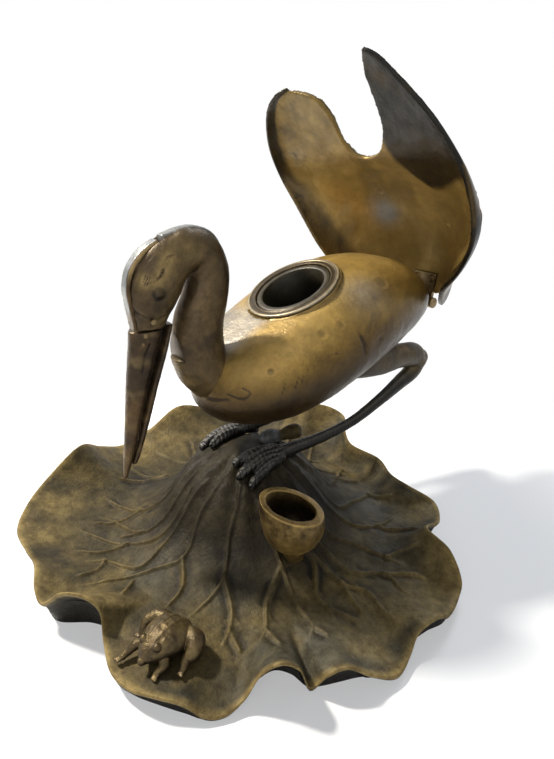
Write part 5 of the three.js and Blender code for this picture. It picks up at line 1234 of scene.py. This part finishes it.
def cup():
    foot = rod("foot", (39.0, -5.0, 14), (39.9, -5.4, 20.5), 4.6)
    form = combined(bowl("bud_cup_casting", 0), [foot], "UNION")
    mouth = skin("mouth", [[(-40, -40, z), (40, -40, z), (40, 40, z), (-40, 40, z)]
                           for z in (CUP_MOUTH_HEIGHT, 40)])
    combined(form, [bowl("room", CUP_WALL), placed(mouth, cup_mouth)])
    form = fused("bud_cup_casting", [form], 0.3, 5)
    points = points_of(form)
    level = through(points, cup_mouth.inverted())[:, 2]
    lean = through(points, cup_lean.inverted())
    depth = np.where(lean[:, 2] > 0, np.hypot(lean[:, 0], lean[:, 1]), np.linalg.norm(lean, axis=1))
    outer = ramp(depth, 9.3, 10.3)
    carve(form, waves(points, 6, 81) * 0.09 + waves(points, 1.8, 82) * 0.05)
    points = points_of(form)
    rim = ramp(level, 6.0, 6.9)
    # Painted highlight on the bud's lit side
    sunny = hill(gap_to(points, (46, -12, 22.5)), 6.5)
    patches = soft_noise(points, 6, 83)
    gold = outer * (0.95 * sunny + 0.3 * ramp(patches, 0.5, 0.9)) + 0.55 * rim
    # Painted shade inside the bud below the mouth
    soot = 0.95 * (1 - outer) * ramp(5.5 - level, 0, 3)
    soot += 0.55 * outer * ramp(patches, 0.45, 0.2) * (1 - sunny)
    soot += 0.4 * outer * ramp(level, 0, 4) * (1 - rim)
    return painted(form, gold=gold, soot=soot)


finish(cup(), "cup", "base", "bronze_gilt", "bud_cup")


# Frog

FROG_PLACE, FROG_TURN, FROG_LENGTH, FROG_HALF_WIDTH, FROG_HEIGHT = (45.4, -62.4), 17.0, 16.0, 6.0, 8.2
frog_body = [
    (0.5, 0.4, 0.45, 0.26), (0.3, 0.54, 0.95, 0.5), (0.05, 0.63, 1.06, 0.58), (-0.2, 0.66, 0.96, 0.52),
    (-0.4, 0.6, 0.74, 0.4), (-0.56, 0.52, 0.48, 0.28), (-0.66, 0.47, 0.2, 0.15),
]
frog_limbs = [
    [(0.7, 0.34, 0.5, 0.4), (1.35, 0.3, 0.54, 0.44), (1.7, 0.12, 0.4, 0.35), (1.6, -0.06, 0.2, 0.23),
     (1.75, -0.2, 0.1, 0.15)],
    [(-0.7, 0.34, 0.5, 0.38), (-1.45, 0.3, 0.58, 0.34), (-1.9, 0.12, 0.42, 0.25), (-1.8, -0.08, 0.14, 0.16)],
    [(-0.6, -0.28, 0.5, 0.25), (-1.15, -0.42, 0.4, 0.21), (-1.35, -0.58, 0.22, 0.16),
     (-1.45, -0.72, 0.1, 0.13)],
    [(0.6, -0.28, 0.45, 0.25), (0.95, -0.42, 0.28, 0.2), (0.85, -0.58, 0.1, 0.14)],
]


frog_mouth = [(-5, -6, 4.2), (-3.2, -9, 4), (0, -10.8, 3.9), (3.2, -9, 4), (5, -6, 4.2)]


def frog():
    stand = Matrix.Translation((*FROG_PLACE, leaf_height_at(*FROG_PLACE)))
    stand = stand @ Matrix.Rotation(math.radians(FROG_TURN), 4, "Z")

    def place(x, y, z):
        return tuple(stand @ Vector((x * FROG_HALF_WIDTH, y * FROG_LENGTH, z * FROG_HEIGHT)))

    parts = [limb("trunk", [(place(0, y, z), 1.22 * a * FROG_HALF_WIDTH, 1.12 * d * FROG_HEIGHT)
                            for y, z, a, d in frog_body], 48, 50)]
    for rows in frog_limbs:
        stations = [(place(x, y, z), r * FROG_HEIGHT, r * FROG_HEIGHT) for x, y, z, r in rows]
        parts.append(limb("frog_limb", stations, 28, 36, side_way=(0, 0, 1)))
        x, y, z, _ = rows[-1]
        for spread in (-0.35, 0.1, 0.5):
            end = place(x + np.sign(x) * (0.1 + 0.3 * spread), y - 0.13, max(z - 0.03, 0.06))
            parts.append(limb("frog_toe", [(place(x, y, z), 0.75, 0.6), (end, 0.5, 0.4)], 16, 12))
    parts += [ball("frog_eye", place(side * 0.52, -0.41, 0.98), (1.45, 1.45, 1.45), 24, 14)
              for side in (1, -1)]
    form = fused("frog_casting", parts, 0.22, 3)
    points = points_of(form)
    back = through(points, stand.inverted())
    warts = np.zeros(len(points))
    for _ in range(34):
        x, y = rng.uniform(-6, 6), rng.uniform(-6, 6)
        gap = np.hypot(back[:, 0] - x, back[:, 1] - y)
        warts += hill(gap, rng.uniform(0.45, 0.8)) * 0.12 * ramp(back[:, 2], 4, 6)
    mouth = line_field(back, [(frog_mouth, 0.4, 0.3)])
    spine = hill(np.abs(back[:, 0]) - 1.6, 0.5) * ramp(back[:, 2], 6, 8) * 0.2
    carve(form, warts + spine - mouth + waves(points, 2.4, 91) * 0.08)
    points, normals = points_of(form), normals_of(form)
    # Painted light and shade: gold on faces that turn up, darker faces that turn down; the mouth line takes
    # patina
    gold = 0.08 * ramp(normals[:, 2], 0.35, 0.95) * ramp(soft_noise(points, 5, 92), 0.5, 0.85)
    soot = 0.45 + 0.5 * ramp(-normals[:, 2], -0.6, 0.2) + 0.6 * ramp(mouth, 0.1, 0.25)
    return painted(form, gold=gold, soot=soot)


finish(frog(), "frog", "base", "bronze_gilt", "frog")


# Ring and pot in the well


def rounded(profile, radius=0.18, steps=4):
    """Closed outline with its corners rounded."""
    rows = np.asarray(profile, float)
    out = []
    for i in range(len(rows)):
        a, b, c = rows[i - 1], rows[i], rows[(i + 1) % len(rows)]
        reach = min(radius, np.linalg.norm(a - b) * 0.45, np.linalg.norm(c - b) * 0.45)
        start, end = b + unit(a - b) * reach, b + unit(c - b) * reach
        for t in np.linspace(0, 1, steps + 1):
            out.append((1 - t) ** 2 * start + 2 * t * (1 - t) * b + t * t * end)
    return np.array(out)


def collar():
    outline = rounded([(15.2, -7), (17.2, -7), (17.2, 0.3), (19.8, 0.3), (19.8, 1.0), (19.5, 1.3),
                       (18.6, 1.3), (18.3, 1.12), (17.1, 1.12), (16.8, 1.3), (16.5, 1.3), (16.2, 1.0),
                       (16.2, -1.5), (15.2, -1.5)])
    r, z = outline[:, 0], outline[:, 1]
    # Painted shade darkens the ring below its top face, the groove on top takes patina, and the outer top
    # edge is lighter with a painted reflection
    soot = 0.95 * ramp(-z, -0.9, 0.6) + 0.85 * hill(r - 17.5, 1.0) * ramp(z, 0.9, 1.1)
    gold = 0.8 * ramp(r, 18.9, 19.4) * ramp(z, 0.6, 1.0)
    return placed(turned("well_ring", outline, 192, soot=np.clip(soot, 0, 1), gold=gold,
                         cool=0.25 * ramp(r, 18.6, 19.4)), WELL_FRAME)


def pot():
    turns = np.linspace(0, math.pi / 2, 9)
    corner = [(14.9 - 3.2 * (1 - math.sin(t)), -30 + 3.2 * (1 - math.cos(t))) for t in turns]
    lip = [(14.9, -1.2), (15.72, -1.2), (15.9, -1.02), (15.9, 0.55), (15.65, 0.8), (13.6, 0.8), (13.3, 0.5),
           (13.3, -20)]
    inner = [(13.3 - 2.0 * (1 - math.cos(t)), -28.4 + 2.0 * (1 - math.sin(t))) for t in turns]
    rows = np.array((corner + lip + inner)[::-1])
    z = rows[:, 1]
    inside = np.arange(len(rows)) < 12
    # Painted shade deepens down the inside of the pot
    return placed(turned("pot_brass_body", rows, 160, True, soot=inside * ramp(-z, 0, 6),
                         gold=0.1 * ramp(z, 0.2, 0.8)), WELL_FRAME)


finish(collar(), "ring", "base", "brass_ring", "well_collar")
finish(pot(), "pot", "pot", "brass_pot", "ink_pot")


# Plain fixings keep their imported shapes

for name in ("lid_hinge_leaf", "tail_hinge_leaf", "hinge_pin", "lid_rivet_left", "lid_rivet_right",
             "tail_rivet_left", "tail_rivet_right", "bill_pin", "bill_spring", "spring_rivet",
             "left_foot_screw", "right_foot_screw", "cup_screw", "frog_screw", "left_hip_screw",
             "right_hip_screw", "neck_screw"):
    for slot in bpy.data.objects[name].material_slots:
        slot.material = materials["fixings"]


# Camera, light and floor

SKY_COLOR, SKY_STRENGTH = (0.8, 0.86, 1.0), 0.2
FLOOR_REACH = 3000.0
# Distances from the object, in metres, where the floor starts and ends fading to white
SHADOW_FADE, SHADOW_LOSS = (0.12, 0.24), 0.35
# Name, place and aim in metres, size, power and colour
lamps = [
    ("key", (-0.5, -0.3, 0.75), (0, 0, 0.08), 0.1, 15, (1.0, 0.96, 0.88)),
    ("fill", (0.6, -0.5, 0.5), (0, 0.02, 0.1), 0.8, 2.0, (1, 1, 1)),
    ("rim", (-0.35, 0.7, 0.6), (0, 0.02, 0.12), 0.4, 4.0, (0.85, 0.92, 1.0)),
]

# The photograph's view: place in millimetres, axes to the right, up and back, focal length in pixels
CAMERA_PLACE = (180.59, -114.96, 163.32)
camera_axes = ((0.5902, 0.8073, -0.0063), (-0.3068, 0.2315, 0.9232), (0.7467, -0.5429, 0.3843))
SENSOR_WIDTH, FOCAL_PIXELS, PHOTO_WIDTH = 36.0, 568.33, 554


def camera():
    data = bpy.data.cameras.new("camera")
    data.sensor_fit, data.sensor_width = "HORIZONTAL", SENSOR_WIDTH
    data.lens = SENSOR_WIDTH * FOCAL_PIXELS / PHOTO_WIDTH
    data.clip_start, data.clip_end = 0.01, 20
    obj = bpy.data.objects.new("camera", data)
    turn = Matrix(camera_axes).transposed().to_4x4()
    obj.matrix_world = Matrix.Translation(Vector(CAMERA_PLACE) * MM) @ turn
    bpy.context.scene.collection.objects.link(obj)
    bpy.context.scene.camera = obj


def area_light(name, place, target, size, power, color):
    data = bpy.data.lights.new(name, "AREA")
    data.shape, data.size, data.energy, data.color = "DISK", size, power, color
    obj = bpy.data.objects.new(name, data)
    place, target = Vector(place), Vector(target)
    turn = (place - target).to_track_quat("Z", "Y").to_matrix().to_4x4()
    obj.matrix_world = Matrix.Translation(place) @ turn
    bpy.context.scene.collection.objects.link(obj)


def surroundings():
    """White studio: soft sky light, three lamps and a floor that fades to pure white away from the object."""
    def links(tree, *pairs):
        for a, b in pairs:
            tree.links.new(a, b)

    def seen_directly(tree):
        path = node(tree, "ShaderNodeLightPath")
        fac = path.outputs["Is Camera Ray"]
        for ray in ("Is Glossy Ray", "Is Transmission Ray"):
            either = node(tree, "ShaderNodeMath", operation="MAXIMUM")
            links(tree, (fac, either.inputs[0]), (path.outputs[ray], either.inputs[1]))
            fac = either.outputs[0]
        return fac

    world = bpy.data.worlds.new("studio")
    bpy.context.scene.world = world
    world.use_nodes = True
    tree = world.node_tree
    sky = tree.nodes["Background"]
    sky.inputs["Color"].default_value = (*SKY_COLOR, 1)
    sky.inputs["Strength"].default_value = SKY_STRENGTH
    white = node(tree, "ShaderNodeBackground", Color=(1, 1, 1, 1), Strength=1.0)
    choice = node(tree, "ShaderNodeMixShader")
    links(tree, (seen_directly(tree), choice.inputs[0]), (sky.outputs[0], choice.inputs[1]),
          (white.outputs[0], choice.inputs[2]),
          (choice.outputs[0], tree.nodes["World Output"].inputs["Surface"]))

    corners = [(x * FLOOR_REACH, y * FLOOR_REACH, 0) for x, y in ((-1, -1), (1, -1), (1, 1), (-1, 1))]
    floor = mesh_object("floor", corners, [(0, 1, 2, 3)])
    material = bpy.data.materials.new("floor_paper")
    material.use_nodes = True
    tree = material.node_tree
    paper = tree.nodes["Principled BSDF"]
    place = node(tree, "ShaderNodeTexCoord").outputs["Object"]
    grain = node(tree, "ShaderNodeTexNoise", Scale=3.0)
    tone = node(tree, "ShaderNodeValToRGB")
    for element, grey in zip(tone.color_ramp.elements, (0.9, 0.94)):
        element.color = (grey, grey, grey, 1)
    paper.inputs["Roughness"].default_value = 0.9
    glow = node(tree, "ShaderNodeEmission", Color=(1, 1, 1, 1), Strength=1.0)
    distance = node(tree, "ShaderNodeVectorMath", operation="LENGTH")
    fade = node(tree, "ShaderNodeMapRange", interpolation_type="SMOOTHSTEP")
    for key, value in zip(("From Min", "From Max", "To Min", "To Max"), (*SHADOW_FADE, SHADOW_LOSS, 1.0)):
        fade.inputs[key].default_value = value
    path = node(tree, "ShaderNodeLightPath")
    both = node(tree, "ShaderNodeMath", operation="MULTIPLY")
    mix = node(tree, "ShaderNodeMixShader")
    links(tree, (place, grain.inputs["Vector"]), (grain.outputs["Fac"], tone.inputs["Fac"]),
          (tone.outputs["Color"], paper.inputs["Base Color"]), (place, distance.inputs[0]),
          (distance.outputs["Value"], fade.inputs["Value"]), (fade.outputs["Result"], both.inputs[0]),
          (path.outputs["Is Camera Ray"], both.inputs[1]), (both.outputs[0], mix.inputs[0]),
          (paper.outputs[0], mix.inputs[1]), (glow.outputs[0], mix.inputs[2]),
          (mix.outputs[0], tree.nodes["Material Output"].inputs["Surface"]))
    floor.data.materials.append(material)
    for lamp in lamps:
        area_light(*lamp)


camera()
surroundings()
bpy.context.scene.view_settings.view_transform = "Standard"
